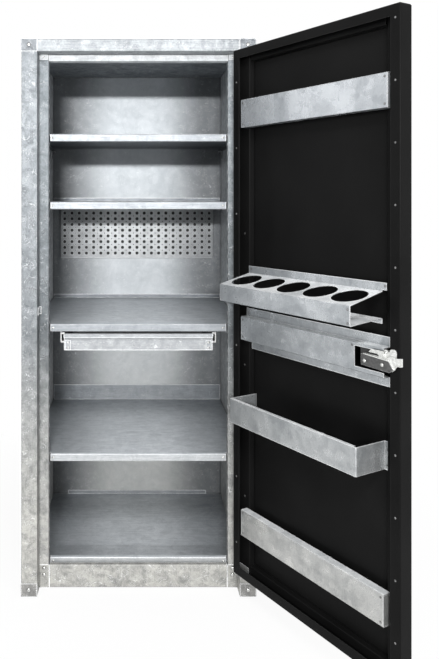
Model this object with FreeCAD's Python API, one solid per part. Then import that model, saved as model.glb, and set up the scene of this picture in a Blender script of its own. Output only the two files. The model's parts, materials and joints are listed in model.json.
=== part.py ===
import FreeCAD, Part
import math
import os

from FreeCAD import Vector

os.makedirs("parts", exist_ok=True)

# ---------------------------------------------------------------------------
# Tool chest side locker. Millimetres, Z up, X across the front, -Y is the front.
# Every shape is drawn with the front plane at y = 0 and is moved back by half
# the depth when it is saved, so the origin is on the floor under the centre.
# ---------------------------------------------------------------------------

# Overall size and sheet thicknesses
WIDTH = 610.0
HEIGHT = 1444.0
DEPTH = 600.0
FRAME_GAUGE = 1.5
PANEL_GAUGE = 1.2
CAP_GAUGE = 0.8
BEND_RADIUS = 1.0

# Clearances
RUN_GAP = 0.05
SLIDE_GAP = 0.3
LATCH_GAP = 0.7
KNUCKLE_GAP = 0.4
SEAM = 0.8

# Cabinet outline
SIDE_OUT = WIDTH / 2 - CAP_GAUGE
SIDE_IN = SIDE_OUT - PANEL_GAUGE
CABINET_BOTTOM = CAP_GAUGE
CABINET_TOP = HEIGHT - CAP_GAUGE
CEILING = CABINET_TOP - PANEL_GAUGE
POST_WIDTH = 41.0
OPENING_HALF = SIDE_IN - POST_WIDTH
POST_SIDE_DEPTH = 32.0
RECESS = 42.0
TOP_RAIL_HEIGHT = 31.5
TOP_RAIL_BOTTOM = CEILING - TOP_RAIL_HEIGHT
REAR_RETURN = 20.0
BACK_RECESS = 25.0
BACK_FACE = DEPTH - BACK_RECESS
CAP_HEIGHT = 34.0
CAP_DEPTH = 43.0
CAP_ROUND = 1.5

# Inner frame and liners
LINER_CAVITY = 18.0
LINER_IN = SIDE_IN - LINER_CAVITY
LINER_FRONT = 45.0
INNER_POST_FACE = 47.7
INNER_HALF = LINER_IN - INNER_POST_FACE
INNER_POST_DEPTH = 26.0
INNER_POST_REAR = RECESS + INNER_POST_DEPTH
INNER_RAIL_HEIGHT = 17.5
INNER_RAIL_BOTTOM = TOP_RAIL_BOTTOM - INNER_RAIL_HEIGHT
SLOT_WIDTH = 3.0
SLOT_LENGTH = 8.0
SLOT_PITCH = 25.0
KICK_TOP = 61.0
KICK_RETURN = 12.0

# Floor pan and stiffeners
FLOOR_TOP = 26.2
SILL_TOP = 70.5
SILL_FRONT = 62.0
SILL_DEPTH = 14.0
SILL_DROP = 20.0
STIFFENER_HALF = 20.0
STIFFENER_FLANGE = 15.0
STIFFENER_SPACING = 190.0

# Shelves
SHELF_END_GAP = 2.8
SHELF_HALF = INNER_HALF - SHELF_END_GAP
SHELF_FRONT = 62.0
WING_FRONT = 72.0
SHELF_LIP = 20.0
SHELF_HEM = 15.0
SHELF_SIDE = 15.0
SHELF_UPSTAND = 12.0
TALL_UPSTAND = 50.0
TOP_BAY = 191.0
SECOND_BAY = 181.5
PANEL_BAY = 327.0
LOW_BAY = 276.5
SHELF_1_TOP = INNER_RAIL_BOTTOM - TOP_BAY
SHELF_2_TOP = SHELF_1_TOP - SECOND_BAY
SHELF_3_TOP = SHELF_2_TOP - PANEL_BAY
SHELF_4_TOP = SILL_TOP + LOW_BAY
CLIP_FRONT = 110.0
CLIP_REAR = BACK_FACE - 45.0
CLIP_HALF = 12.0

# Perforated tool panel
TOOL_PANEL_END_GAP = 27.5
TOOL_PANEL_HALF = LINER_IN - TOOL_PANEL_END_GAP
TOOL_PANEL_HEIGHT = 168.5
TOOL_PANEL_DROP = 106.75
TOOL_PANEL_CENTRE = SHELF_2_TOP - TOOL_PANEL_DROP
TOOL_PANEL_STANDOFF = 19.0
TOOL_PANEL_FACE = BACK_FACE - TOOL_PANEL_STANDOFF
PEG_COLUMNS = 21
PEG_ROWS = 8
PEG_PITCH_X = TOOL_PANEL_HALF / 10.55
PEG_PITCH_Z = TOOL_PANEL_HEIGHT / 8.73
PEG_HOLE_RADIUS = 5.5
PEG_SMALL_RADIUS = 2.0

# Drawer and its telescopic slides
DRAWER_SIDE_ROOM = 36.0
DRAWER_FRONT_HALF = SHELF_HALF - DRAWER_SIDE_ROOM
DRAWER_HALF = DRAWER_FRONT_HALF - 3.2
DRAWER_DROP = 67.5
DRAWER_BOTTOM = SHELF_3_TOP - DRAWER_DROP
DRAWER_HEIGHT = 35.0
DRAWER_FRONT_HEIGHT = 45.0
DRAWER_FRONT_BOTTOM = DRAWER_BOTTOM - 2.0
DRAWER_FRONT_TOP = DRAWER_FRONT_BOTTOM + DRAWER_FRONT_HEIGHT
DRAWER_REAR_ROOM = 120.0
DRAWER_REAR = BACK_FACE - DRAWER_REAR_ROOM
PULL_REACH = 12.0
PULL_LIP = 9.0
DRAWER_PLATE_WIDTH = 15.0
SLIDE_FRONT = 65.0
SLIDE_REAR = DRAWER_REAR + 10.0
SLIDE_SPACE = 12.7
SLIDE_OUT = DRAWER_HALF + SLIDE_SPACE
SLIDE_HEIGHT = 27.0
SLIDE_LOW = DRAWER_BOTTOM + 18.0
SLIDE_HIGH = SLIDE_LOW + SLIDE_HEIGHT
HANGER_FRONT = 79.0
HANGER_FLANGE = 19.0

# Door. u runs from the hinge axis towards the latch side of the closed door,
# t is the depth behind the front plane.
HINGE_X = OPENING_HALF + 6.0
HINGE_Y = -3.0
HINGE_RADIUS = 3.0
HINGE_PIN_RADIUS = 1.5
HINGE_LEAF = 1.2
HINGE_FRAME_LEAF_WIDTH = 24.0
HINGE_DOOR_LEAF_WIDTH = 34.0
KNUCKLE_COUNT = 33
DOOR_OPEN_ANGLE = 120.0
DOOR_GAUGE = 1.5
DOOR_THICK = 34.0
DOOR_NEAR = 9.0
DOOR_FAR = HINGE_X + OPENING_HALF - 10.0
DOOR_LOW = 79.0
DOOR_HIGH = TOP_RAIL_BOTTOM - 5.5
DOOR_FLANGE = 23.0
CHANNEL_RISE = 15.0
HINGE_CHANNEL_FACE = 50.4
HINGE_CHANNEL_FOOT = 55.0
LOCK_CHANNEL_FACE = DOOR_FAR - 46.0
LOCK_CHANNEL_FOOT = DOOR_FAR - 50.6
CROSS_CHANNEL_FACE = 31.0
CROSS_CHANNEL_FOOT = 35.0
CHANNEL_FOOT_WIDTH = 9.0

# Door fittings
RAIL_NEAR = 41.0
UPPER_RAIL_FAR = DOOR_FAR - 30.0
UPPER_RAIL_DROP = 199.0
UPPER_RAIL_LOW = DOOR_HIGH - UPPER_RAIL_DROP
UPPER_RAIL_HEIGHT = 70.0
LOWER_RAIL_FAR = DOOR_FAR - 40.0
LOWER_RAIL_RISE = 107.0
LOWER_RAIL_LOW = DOOR_LOW + LOWER_RAIL_RISE
LOWER_RAIL_HEIGHT = 65.0
CAN_TOP = (SHELF_2_TOP + SHELF_3_TOP) / 2 - 36.0
CAN_NEAR = 50.0
CAN_FAR = DOOR_FAR - 58.0
CAN_TAB_FAR = DOOR_FAR - 47.0
CAN_REACH = 107.0
CAN_HEIGHT = 41.0
CAN_TOP_RISE = 22.0
CAN_FLOOR_RISE = 8.6
CAN_BACK = 18.0
CAN_HOLES = 5
CAN_HOLE_PITCH = (CAN_FAR - CAN_NEAR) / (CAN_HOLES + 0.09)
CAN_HOLE_RADIUS = CAN_HOLE_PITCH * 0.457
CAN_HOLE_DEPTH = 60.0
BAR_LOW = SHELF_3_TOP - 17.5
BAR_HEIGHT = 59.0
BAR_BACK = 20.0
BAR_FAR = DOOR_FAR - 39.0
BAR_WINDOW = DOOR_FAR - 113.0
BAR_WINDOW_LOW = BAR_LOW + 9.8
BAR_WINDOW_HIGH = BAR_LOW + 51.5
TRAY_NEAR = 60.5
TRAY_FAR = DOOR_FAR - 63.0
TRAY_REACH = 85.0
TRAY_HEIGHT = 57.5
TRAY_LOW = (SHELF_4_TOP + DRAWER_FRONT_BOTTOM) / 2 - 1.5
TRAY_TAB = 12.0
TRAY_HEM = 8.0

# Latch. a runs along the lever from its pivot, b is up.
PIVOT_U = DOOR_FAR - 81.0
PIVOT_Z = BAR_LOW + 27.5
SPINDLE_A = 18.0
LEVER_SWING = 8.0
HANDLE_SWING = 60.0
PIN_ANGLE = math.radians(HANDLE_SWING + LEVER_SWING)
CRANK_RADIUS = SPINDLE_A * math.sin(math.radians(LEVER_SWING)) / math.sin(PIN_ANGLE)
CRANK_PIN_RADIUS = 2.0
CRANK_DISC_RADIUS = 6.0
SPINDLE_RADIUS = 4.0
TAB_T = DOOR_THICK + 0.4
TAB_GAUGE = 1.5
LEVER_NEAR_T = TAB_T + TAB_GAUGE + 0.4
LEVER_GAUGE = 2.5
COVER_T = LEVER_NEAR_T + LEVER_GAUGE + 0.6
COVER_GAUGE = 2.0
LIP_GAUGE = 2.0
LIP_T = COVER_T + COVER_GAUGE + 2.1
LEVER_LEFT = -9.0
LIP_A = 60.5
RIB_A = 71.1
TIP_A = 88.6
PIVOT_RADIUS = 2.6
GUIDE_A = 43.7
GUIDE_RADIUS = 2.0
LATCH_HEAD = 3.8
LATCH_HEAD_RISE = 1.6
HOUSING_NEAR = PIVOT_U - 17.0
HOUSING_FAR = PIVOT_U + 29.0
HOUSING_END = PIVOT_U + 40.0
HOUSING_LOW = PIVOT_Z - 12.0
HOUSING_HIGH = PIVOT_Z + 30.0
HOUSING_WALL = 1.5
HOUSING_T = DOOR_THICK - PANEL_GAUGE - 0.4
TAB_A = 49.0
TAB_B = 24.5
KEEPER_GAUGE = 2.0
KEEPER_HEIGHT = 20.0
KEEPER_FRONT = 10.0
KEEPER_REAR = LEVER_NEAR_T - 0.7
KEEPER_REACH = 6.5

# Outside handle
ROSE_HALF_WIDTH = 16.0
ROSE_HALF_HEIGHT = 40.0
ROSE_GAUGE = 3.0
HUB_RADIUS = 12.0
HUB_REACH = 26.0
GRIP_LENGTH = 92.0
GRIP_RADIUS = 7.0
LOCK_RADIUS = 8.0
LOCK_DEPTH = 18.0

# Screws and rivets
SCREW_HEAD = 5.0
SCREW_RISE = 2.2
RIVET_HEAD = 3.0
RIVET_RISE = 1.2
SMALL_SCREW_HEAD = 2.6
SMALL_SCREW_RISE = 1.0
NEAR_SCREWS = 8
FAR_SCREWS = 11
CHANNEL_SCREWS = 4

# Bolt holes to the neighbouring chest, left side
JOIN_HOLE_RADIUS = 4.5
JOIN_SPACING_Y = 380.0
JOIN_SPACING_Z = 1000.0
JOIN_LOW = 200.0


def block(x0, x1, y0, y1, z0, z1):
    """Box between two corners given as low and high limits on each axis."""
    size = Vector(abs(x1 - x0), abs(y1 - y0), abs(z1 - z0))
    corner = Vector(min(x0, x1), min(y0, y1), min(z0, z1))
    return Part.makeBox(size.x, size.y, size.z, corner)


def rod(x, y, z, radius, length, direction):
    """Cylinder from a point along a direction."""
    return Part.makeCylinder(radius, length, Vector(x, y, z), Vector(*direction))


def dome(x, y, z, radius, rise, direction):
    """Low spherical fastener head standing on a face."""
    sphere_radius = (radius * radius + rise * rise) / (2 * rise)
    base_angle = math.degrees(math.asin((sphere_radius - rise) / sphere_radius))
    normal = Vector(*direction)
    centre = Vector(x, y, z) - normal * (sphere_radius - rise)
    return Part.makeSphere(sphere_radius, centre, normal, base_angle, 90, 360)


def to_space(point, along, position):
    """Place a section point on the plane normal to the named axis."""
    a, b = point
    if along == "X":
        return Vector(position, a, b)
    if along == "Y":
        return Vector(a, position, b)
    return Vector(a, b, position)


def fold(points, along, start, end, gauge, side, radius=BEND_RADIUS):
    """Sheet bent along a line of section points and extruded along an axis.

    The points lie on one face of the sheet; the metal is on the left of the
    line for side +1 and on its right for side -1.
    """
    flat = [FreeCAD.Vector(a, b, 0) for a, b in points]
    heads = [(q - p).normalize() for p, q in zip(flat, flat[1:])]
    metal = [Vector(-d.y, d.x, 0) * side for d in heads]
    face_edges = []
    back_edges = []
    face_point = flat[0]
    back_point = flat[0] + metal[0] * gauge
    for index in range(1, len(flat) - 1):
        before = heads[index - 1]
        after = heads[index]
        turn = before.x * after.y - before.y * after.x
        bend = 1.0 if turn > 0 else -1.0
        towards = bend * side > 0
        face_radius = radius + gauge if towards else radius
        back_radius = radius if towards else radius + gauge
        angle = math.acos(max(-1.0, min(1.0, before.dot(after))))
        cut = face_radius * math.tan(angle / 2)
        first = flat[index] - before * cut
        last = flat[index] + after * cut
        centre = first + Vector(-before.y, before.x, 0) * (bend * face_radius)
        ray = (flat[index] - centre).normalize()
        ray_first = (first - centre).normalize()
        ray_last = (last - centre).normalize()
        back_first = centre + ray_first * back_radius
        back_last = centre + ray_last * back_radius
        face_edges.append(("line", face_point, first))
        face_edges.append(("arc", first, centre + ray * face_radius, last))
        back_edges.append(("line", back_point, back_first))
        back_edges.append(("arc", back_first, centre + ray * back_radius, back_last))
        face_point = last
        back_point = back_last
    face_end = flat[-1]
    back_end = flat[-1] + metal[-1] * gauge
    face_edges.append(("line", face_point, face_end))
    back_edges.append(("line", back_point, back_end))
    outline = face_edges + [("line", face_end, back_end)] + back_edges
    outline.append(("line", flat[0], flat[0] + metal[0] * gauge))
    edges = []
    for kind, *ends in outline:
        spots = [to_space((p.x, p.y), along, start) for p in ends]
        if kind == "arc":
            edges.append(Part.Arc(*spots).toShape())
        else:
            edges.append(Part.makeLine(*spots))
    wire = Part.Wire(Part.__sortEdges__(edges))
    travel = to_space((0, 0), along, end - start)
    solid = Part.Face(wire).extrude(travel)
    return solid


def joined(shapes):
    """One solid from touching or overlapping pieces of the same sheet."""
    first, *others = shapes
    return first.multiFuse(others).removeSplitter()


def pierced(shape, cutters):
    """Shape with a list of cutters taken away."""
    return shape.cut(Part.makeCompound(cutters))


def mirrored(shape):
    """Copy of a shape on the other side of the centre plane."""
    return shape.mirror(Vector(0, 0, 0), Vector(1, 0, 0))


def save(name, shape):
    """Write one piece, with the origin moved under the middle of the cabinet."""
    placed = shape.copy()
    placed.translate(Vector(0, -DEPTH / 2, 0))
    placed.exportStep("parts/" + name + ".step")


def save_pair(name, shape):
    """Write the right piece and its mirrored left piece."""
    save("right_" + name, shape)
    save("left_" + name, mirrored(shape))


def both(shapes):
    """Right-hand pieces together with their mirrored copies."""
    return [item for shape in shapes for item in (shape, mirrored(shape))]


# --- door helpers: section points are (u, t) of the closed door -------------

def door_fold(points, low, high, gauge, side, radius=BEND_RADIUS):
    """Upright sheet of the closed door from (u, t) section points."""
    mapped = [(HINGE_X - u, t) for u, t in points]
    return fold(mapped, "Z", low, high, gauge, -side, radius)


def door_strip(points, near, far, gauge, side, radius=BEND_RADIUS):
    """Level sheet of the closed door from (t, z) section points."""
    return fold(points, "X", HINGE_X - far, HINGE_X - near, gauge, side, radius)


def door_block(u0, u1, t0, t1, z0, z1):
    """Box in closed door coordinates."""
    return block(HINGE_X - u1, HINGE_X - u0, t0, t1, z0, z1)


def door_rod(u, t, z, radius, length):
    """Cylinder from depth t inwards on the closed door."""
    return rod(HINGE_X - u, t, z, radius, length, (0, 1, 0))


def door_dome(u, t, z, radius, rise):
    """Fastener head on a face of the closed door that looks inwards."""
    return dome(HINGE_X - u, t, z, radius, rise, (0, 1, 0))


def door_plate(outline, t, gauge):
    """Flat plate from (u, z) corners, lying at depth t."""
    corners = [Vector(HINGE_X - u, t, z) for u, z in outline]
    corners.append(corners[0])
    return Part.Face(Part.makePolygon(corners)).extrude(Vector(0, gauge, 0))


def save_door(name, shape):
    """Write a door piece, swung open about the hinge axis."""
    swung = shape.copy()
    swung.rotate(Vector(HINGE_X, HINGE_Y, 0), Vector(0, 0, 1), DOOR_OPEN_ANGLE)
    save(name, swung)


# ---------------------------------------------------------------------------
# Outer cabinet
# ---------------------------------------------------------------------------

side_line = [(SIDE_OUT, 0), (SIDE_OUT, DEPTH), (SIDE_OUT - REAR_RETURN, DEPTH)]
side_panel = fold(side_line, "Z", CABINET_BOTTOM, CABINET_TOP, PANEL_GAUGE, 1)
join_centre = (BACK_FACE + LINER_FRONT) / 2
join_holes = []
for y in (join_centre - JOIN_SPACING_Y / 2, join_centre + JOIN_SPACING_Y / 2):
    for z in (JOIN_LOW, JOIN_LOW + JOIN_SPACING_Z):
        join_holes.append(rod(-SIDE_OUT - 5, y, z, JOIN_HOLE_RADIUS, 40, (1, 0, 0)))
save("right_side_panel", side_panel)
save("left_side_panel", pierced(mirrored(side_panel), join_holes))

back_end = DEPTH - PANEL_GAUGE - BEND_RADIUS - RUN_GAP
back_line = [(-SIDE_IN, back_end), (-SIDE_IN, BACK_FACE), (SIDE_IN, BACK_FACE), (SIDE_IN, back_end)]
save("back_panel", fold(back_line, "Z", CABINET_BOTTOM, CEILING, PANEL_GAUGE, 1))

top_flange = CEILING - REAR_RETURN
top_line = [(-SIDE_IN, top_flange), (-SIDE_IN, CABINET_TOP), (SIDE_IN, CABINET_TOP), (SIDE_IN, top_flange)]
top_sheet = fold(top_line, "Y", 0, back_end, PANEL_GAUGE, -1)
top_notches = [
    block(-SIDE_IN, SIDE_IN, 0, LINER_FRONT + 15, top_flange, CEILING),
    block(-SIDE_IN, SIDE_IN, BACK_FACE - 15, back_end, top_flange, CEILING),
]
save("top_panel", pierced(top_sheet, top_notches))

post_line = [(SIDE_IN, POST_SIDE_DEPTH), (SIDE_IN, 0), (OPENING_HALF, 0), (OPENING_HALF, RECESS)]
save_pair("front_post", fold(post_line, "Z", CABINET_BOTTOM, CEILING, FRAME_GAUGE, -1))

rail_line = [(RECESS, TOP_RAIL_BOTTOM), (0, TOP_RAIL_BOTTOM), (0, CEILING), (30, CEILING)]
rail_half = OPENING_HALF - SEAM
save("top_front_rail", fold(rail_line, "X", -rail_half, rail_half, FRAME_GAUGE, -1))


def corner_cap(low, high, open_low):
    """Three-wall cap over a front corner, with its outer edges eased."""
    outer = block(OPENING_HALF, WIDTH / 2, -CAP_GAUGE, CAP_DEPTH, low, high)
    end = high if open_low else low
    picked = []
    for edge in outer.Edges:
        box = edge.BoundBox
        on_front = box.YMax < 0
        on_side = box.XMin > WIDTH / 2 - 0.01
        on_end = abs(box.ZMin - end) < 0.01 and abs(box.ZMax - end) < 0.01
        if on_front + on_side + on_end == 2:
            picked.append(edge)
    outer = outer.makeFillet(CAP_ROUND, picked)
    inner_low = low if open_low else low + CAP_GAUGE
    inner_high = high - CAP_GAUGE if open_low else high
    return outer.cut(block(OPENING_HALF - 1, SIDE_OUT, 0, CAP_DEPTH + 1, inner_low - (1 if open_low else 0),
                           inner_high + (0 if open_low else 1)))


save_pair("top_cap", corner_cap(HEIGHT - CAP_HEIGHT, HEIGHT, True))
save_pair("foot_cap", corner_cap(0, CAP_HEIGHT, False))

cap_screw_x = (OPENING_HALF + WIDTH / 2) / 2
frame_screws = []
for z in (CAP_HEIGHT / 2, HEIGHT - CAP_HEIGHT / 2):
    frame_screws.append(dome(cap_screw_x, -CAP_GAUGE, z, SCREW_HEAD, SCREW_RISE, (0, -1, 0)))
for z in (CAP_HEIGHT, CAP_HEIGHT + 17.5):
    frame_screws.append(dome(INNER_HALF + 12, RECESS, z, SCREW_HEAD, SCREW_RISE, (0, -1, 0)))
save("frame_screws", Part.makeCompound(both(frame_screws)))

# ---------------------------------------------------------------------------
# Liners, inner frame and floor
# ---------------------------------------------------------------------------

liner_line = [(SIDE_IN, LINER_FRONT), (LINER_IN, LINER_FRONT), (LINER_IN, BACK_FACE), (SIDE_IN, BACK_FACE)]
liner = fold(liner_line, "Z", FLOOR_TOP - PANEL_GAUGE, CEILING, PANEL_GAUGE, -1)
liner_slots = []
slot_count = int((INNER_RAIL_BOTTOM - SILL_TOP) / SLOT_PITCH)
for y in (CLIP_FRONT, CLIP_REAR):
    for index in range(1, slot_count):
        z = SILL_TOP + index * SLOT_PITCH
        liner_slots.append(block(LINER_IN - 1, LINER_IN + 5, y - 8, y - 8 + SLOT_WIDTH, z, z + SLOT_LENGTH))
liner = pierced(liner, liner_slots)
save("right_liner", liner)
save("left_liner", pierced(mirrored(liner), join_holes))

inner_line = [
    (LINER_IN, RECESS),
    (INNER_HALF, RECESS),
    (INNER_HALF, INNER_POST_REAR),
    (LINER_IN, INNER_POST_REAR),
]
inner_post = fold(inner_line, "Z", KICK_TOP, TOP_RAIL_BOTTOM, FRAME_GAUGE, -1)
inner_slots = []
inner_slot_y = RECESS + INNER_POST_DEPTH / 2
for index in range(1, slot_count):
    z = SILL_TOP + index * SLOT_PITCH
    slot_end = inner_slot_y + SLOT_WIDTH
    inner_slots.append(block(INNER_HALF - 1, INNER_HALF + 4, inner_slot_y, slot_end, z, z + SLOT_LENGTH))
save_pair("inner_post", pierced(inner_post, inner_slots))

inner_rail_line = [
    (INNER_POST_REAR, INNER_RAIL_BOTTOM),
    (RECESS, INNER_RAIL_BOTTOM),
    (RECESS, TOP_RAIL_BOTTOM),
    (INNER_POST_REAR, TOP_RAIL_BOTTOM),
]
save("inner_top_rail", fold(inner_rail_line, "X", -INNER_HALF, INNER_HALF, FRAME_GAUGE, -1))

plate_low = INNER_RAIL_BOTTOM + 3
plate_high = TOP_RAIL_BOTTOM - 0.5
corner_plate = block(INNER_HALF + 1.5, OPENING_HALF - 1, RECESS - PANEL_GAUGE, RECESS, plate_low, plate_high)
save("inner_corner_plates", Part.makeCompound(both([corner_plate])))

kick_half = INNER_HALF - 2.3
kick_line = [
    (RECESS + KICK_RETURN, CABINET_BOTTOM),
    (RECESS, CABINET_BOTTOM),
    (RECESS, KICK_TOP),
    (RECESS + KICK_RETURN, KICK_TOP),
]
save("kick_plate", fold(kick_line, "X", -kick_half, kick_half, FRAME_GAUGE, -1))
bracket_line = [(kick_half + SEAM, RECESS), (LINER_IN, RECESS), (LINER_IN, RECESS + 18)]
kick_bracket = fold(bracket_line, "Z", CABINET_BOTTOM, KICK_TOP, FRAME_GAUGE, 1)
save("kick_brackets", Part.makeCompound(both([kick_bracket])))

pan_rear = BACK_FACE - PANEL_GAUGE
sill_rear = SILL_FRONT + SILL_DEPTH
pan_line = [
    (SILL_FRONT, SILL_TOP - SILL_DROP),
    (SILL_FRONT, SILL_TOP),
    (sill_rear, SILL_TOP),
    (sill_rear, FLOOR_TOP),
    (pan_rear, FLOOR_TOP),
    (pan_rear, FLOOR_TOP + SHELF_UPSTAND),
]
wing_pan_line = [(WING_FRONT, SILL_TOP), (WING_FRONT, FLOOR_TOP), (pan_rear, FLOOR_TOP)]
floor_pan = joined([
    fold(pan_line, "X", -SHELF_HALF, SHELF_HALF, PANEL_GAUGE, -1),
    fold(wing_pan_line, "X", SHELF_HALF, LINER_IN, PANEL_GAUGE, -1),
    fold(wing_pan_line, "X", -LINER_IN, -SHELF_HALF, PANEL_GAUGE, -1),
])
save("floor_pan", floor_pan)

pan_under = FLOOR_TOP - PANEL_GAUGE
stiffeners = []
for step in (-1, 0, 1):
    y = DEPTH / 2 + step * STIFFENER_SPACING
    outer = STIFFENER_HALF + STIFFENER_FLANGE
    line = [
        (y - outer, pan_under),
        (y - STIFFENER_HALF, pan_under),
        (y - STIFFENER_HALF, FRAME_GAUGE),
        (y + STIFFENER_HALF, FRAME_GAUGE),
        (y + STIFFENER_HALF, pan_under),
        (y + outer, pan_under),
    ]
    stiffeners.append(fold(line, "X", -SIDE_IN, SIDE_IN, FRAME_GAUGE, -1))
save("floor_stiffeners", Part.makeCompound(stiffeners))

# ---------------------------------------------------------------------------
# Shelves
# ---------------------------------------------------------------------------

shelf_rivets = []
shelf_clips = []


def shelf(top, upstand):
    """Shelf with a hemmed front lip, side flanges and a rear upstand."""
    front_line = [
        (SHELF_FRONT + SHELF_HEM, top - SHELF_LIP),
        (SHELF_FRONT, top - SHELF_LIP),
        (SHELF_FRONT, top),
        (pan_rear, top),
        (pan_rear, top + upstand),
    ]
    wing_line = [(SHELF_HALF, top), (LINER_IN, top), (LINER_IN, top - SHELF_SIDE)]
    wing = fold(wing_line, "Y", WING_FRONT, pan_rear, PANEL_GAUGE, -1)
    corner = LINER_IN - BEND_RADIUS - PANEL_GAUGE
    rear_line = [(pan_rear - 20, top), (pan_rear, top), (pan_rear, top + upstand)]
    rear = fold(rear_line, "X", SHELF_HALF, corner, PANEL_GAUGE, -1)
    middle = fold(front_line, "X", -SHELF_HALF, SHELF_HALF, PANEL_GAUGE, -1)
    return joined([middle, wing, mirrored(wing), rear, mirrored(rear)])


for number, top, upstand in (
    (1, SHELF_1_TOP, SHELF_UPSTAND),
    (2, SHELF_2_TOP, SHELF_UPSTAND),
    (3, SHELF_3_TOP, SHELF_UPSTAND),
    (4, SHELF_4_TOP, TALL_UPSTAND),
):
    save("shelf_" + str(number), shelf(top, upstand))
    lip_middle = top - SHELF_LIP / 2
    shelf_rivets.append(dome(SHELF_HALF - 7, SHELF_FRONT, lip_middle, RIVET_HEAD, RIVET_RISE, (0, -1, 0)))
    under = top - SHELF_SIDE
    clip_line = [(LINER_IN - 12, under), (LINER_IN, under), (LINER_IN, under - 24)]
    for y in (CLIP_FRONT, CLIP_REAR):
        shelf_clips.append(fold(clip_line, "Y", y - CLIP_HALF, y + CLIP_HALF, FRAME_GAUGE, -1))

shelf_rivets.append(dome(SHELF_HALF - 7, SILL_FRONT, SILL_TOP - 10, RIVET_HEAD, RIVET_RISE, (0, -1, 0)))
plate_middle = (plate_low + plate_high) / 2
plate_x = (INNER_HALF + OPENING_HALF) / 2
shelf_rivets.append(dome(plate_x, RECESS - PANEL_GAUGE, plate_middle, RIVET_HEAD, RIVET_RISE, (0, -1, 0)))
save("shelf_rivets", Part.makeCompound(both(shelf_rivets)))
save("shelf_clips", Part.makeCompound(both(shelf_clips)))

# ---------------------------------------------------------------------------
# Perforated tool panel
# ---------------------------------------------------------------------------

panel_low = TOOL_PANEL_CENTRE - TOOL_PANEL_HEIGHT / 2
panel_high = TOOL_PANEL_CENTRE + TOOL_PANEL_HEIGHT / 2
panel_line = [
    (-TOOL_PANEL_HALF, BACK_FACE),
    (-TOOL_PANEL_HALF, TOOL_PANEL_FACE),
    (TOOL_PANEL_HALF, TOOL_PANEL_FACE),
    (TOOL_PANEL_HALF, BACK_FACE),
]
tool_panel = fold(panel_line, "Z", panel_low, panel_high, PANEL_GAUGE, 1)
peg_holes = []
peg_y = TOOL_PANEL_FACE - 2
for column in range(PEG_COLUMNS):
    x = (column - (PEG_COLUMNS - 1) / 2) * PEG_PITCH_X
    for row in range(PEG_ROWS):
        z = TOOL_PANEL_CENTRE + (row - (PEG_ROWS - 1) / 2) * PEG_PITCH_Z
        peg_holes.append(rod(x, peg_y, z, PEG_HOLE_RADIUS, 6, (0, 1, 0)))
        if column < PEG_COLUMNS - 1 and row < PEG_ROWS - 1:
            small_x = x + PEG_PITCH_X / 2
            small_z = z + PEG_PITCH_Z / 2
            peg_holes.append(rod(small_x, peg_y, small_z, PEG_SMALL_RADIUS, 6, (0, 1, 0)))
save("tool_panel", pierced(tool_panel, peg_holes))

# ---------------------------------------------------------------------------
# Drawer and slides
# ---------------------------------------------------------------------------

drawer_top = DRAWER_BOTTOM + DRAWER_HEIGHT
tray_front = SHELF_FRONT + PANEL_GAUGE
box_line = [
    (-DRAWER_HALF, drawer_top),
    (-DRAWER_HALF, DRAWER_BOTTOM),
    (DRAWER_HALF, DRAWER_BOTTOM),
    (DRAWER_HALF, drawer_top),
]
wall_half = DRAWER_HALF - PANEL_GAUGE
wall_low = DRAWER_BOTTOM + PANEL_GAUGE
drawer_box = joined([
    fold(box_line, "Y", tray_front, DRAWER_REAR, PANEL_GAUGE, 1),
    block(-wall_half, wall_half, tray_front, tray_front + PANEL_GAUGE, wall_low, drawer_top),
    block(-wall_half, wall_half, DRAWER_REAR - PANEL_GAUGE, DRAWER_REAR, wall_low, drawer_top),
])
save("drawer_box", drawer_box)

pull_line = [
    (tray_front, DRAWER_FRONT_BOTTOM),
    (tray_front, DRAWER_FRONT_TOP),
    (SHELF_FRONT - PULL_REACH, DRAWER_FRONT_TOP),
    (SHELF_FRONT - PULL_REACH, DRAWER_FRONT_TOP - PULL_LIP),
]
save("drawer_front", fold(pull_line, "X", -DRAWER_FRONT_HALF, DRAWER_FRONT_HALF, PANEL_GAUGE, 1))

end_plate_in = DRAWER_HALF - DRAWER_PLATE_WIDTH
end_plate_low = DRAWER_FRONT_BOTTOM + 1
end_plate_high = DRAWER_FRONT_BOTTOM + 27
end_plate = block(end_plate_in, DRAWER_HALF, SHELF_FRONT - 1, SHELF_FRONT, end_plate_low, end_plate_high)
save("drawer_corner_plates", Part.makeCompound(both([end_plate])))
end_plate_x = DRAWER_HALF - DRAWER_PLATE_WIDTH / 2
drawer_rivets = []
for z in (end_plate_low + 6, end_plate_high - 6):
    drawer_rivets.append(dome(end_plate_x, SHELF_FRONT - 1, z, RIVET_HEAD, RIVET_RISE, (0, -1, 0)))
save("drawer_rivets", Part.makeCompound(both(drawer_rivets)))

member_step = PANEL_GAUGE + SLIDE_GAP
outer_line = [
    (DRAWER_HALF + 2.2, SLIDE_LOW),
    (SLIDE_OUT, SLIDE_LOW),
    (SLIDE_OUT, SLIDE_HIGH),
    (DRAWER_HALF + 2.2, SLIDE_HIGH),
]
middle_line = [
    (DRAWER_HALF + 2.6, SLIDE_LOW + member_step),
    (SLIDE_OUT - member_step, SLIDE_LOW + member_step),
    (SLIDE_OUT - member_step, SLIDE_HIGH - member_step),
    (DRAWER_HALF + 2.6, SLIDE_HIGH - member_step),
]
inner_low = SLIDE_LOW + 2 * member_step
inner_high = SLIDE_HIGH - 2 * member_step
inner_reach = SLIDE_OUT - 2 * member_step - 0.1
inner_member_line = [
    (inner_reach, inner_low),
    (DRAWER_HALF, inner_low),
    (DRAWER_HALF, inner_high),
    (inner_reach, inner_high),
]
outer_member = fold(outer_line, "Y", SLIDE_FRONT, SLIDE_REAR, PANEL_GAUGE, 1)
middle_member = fold(middle_line, "Y", SLIDE_FRONT, SLIDE_REAR - 10, PANEL_GAUGE, 1)
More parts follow.
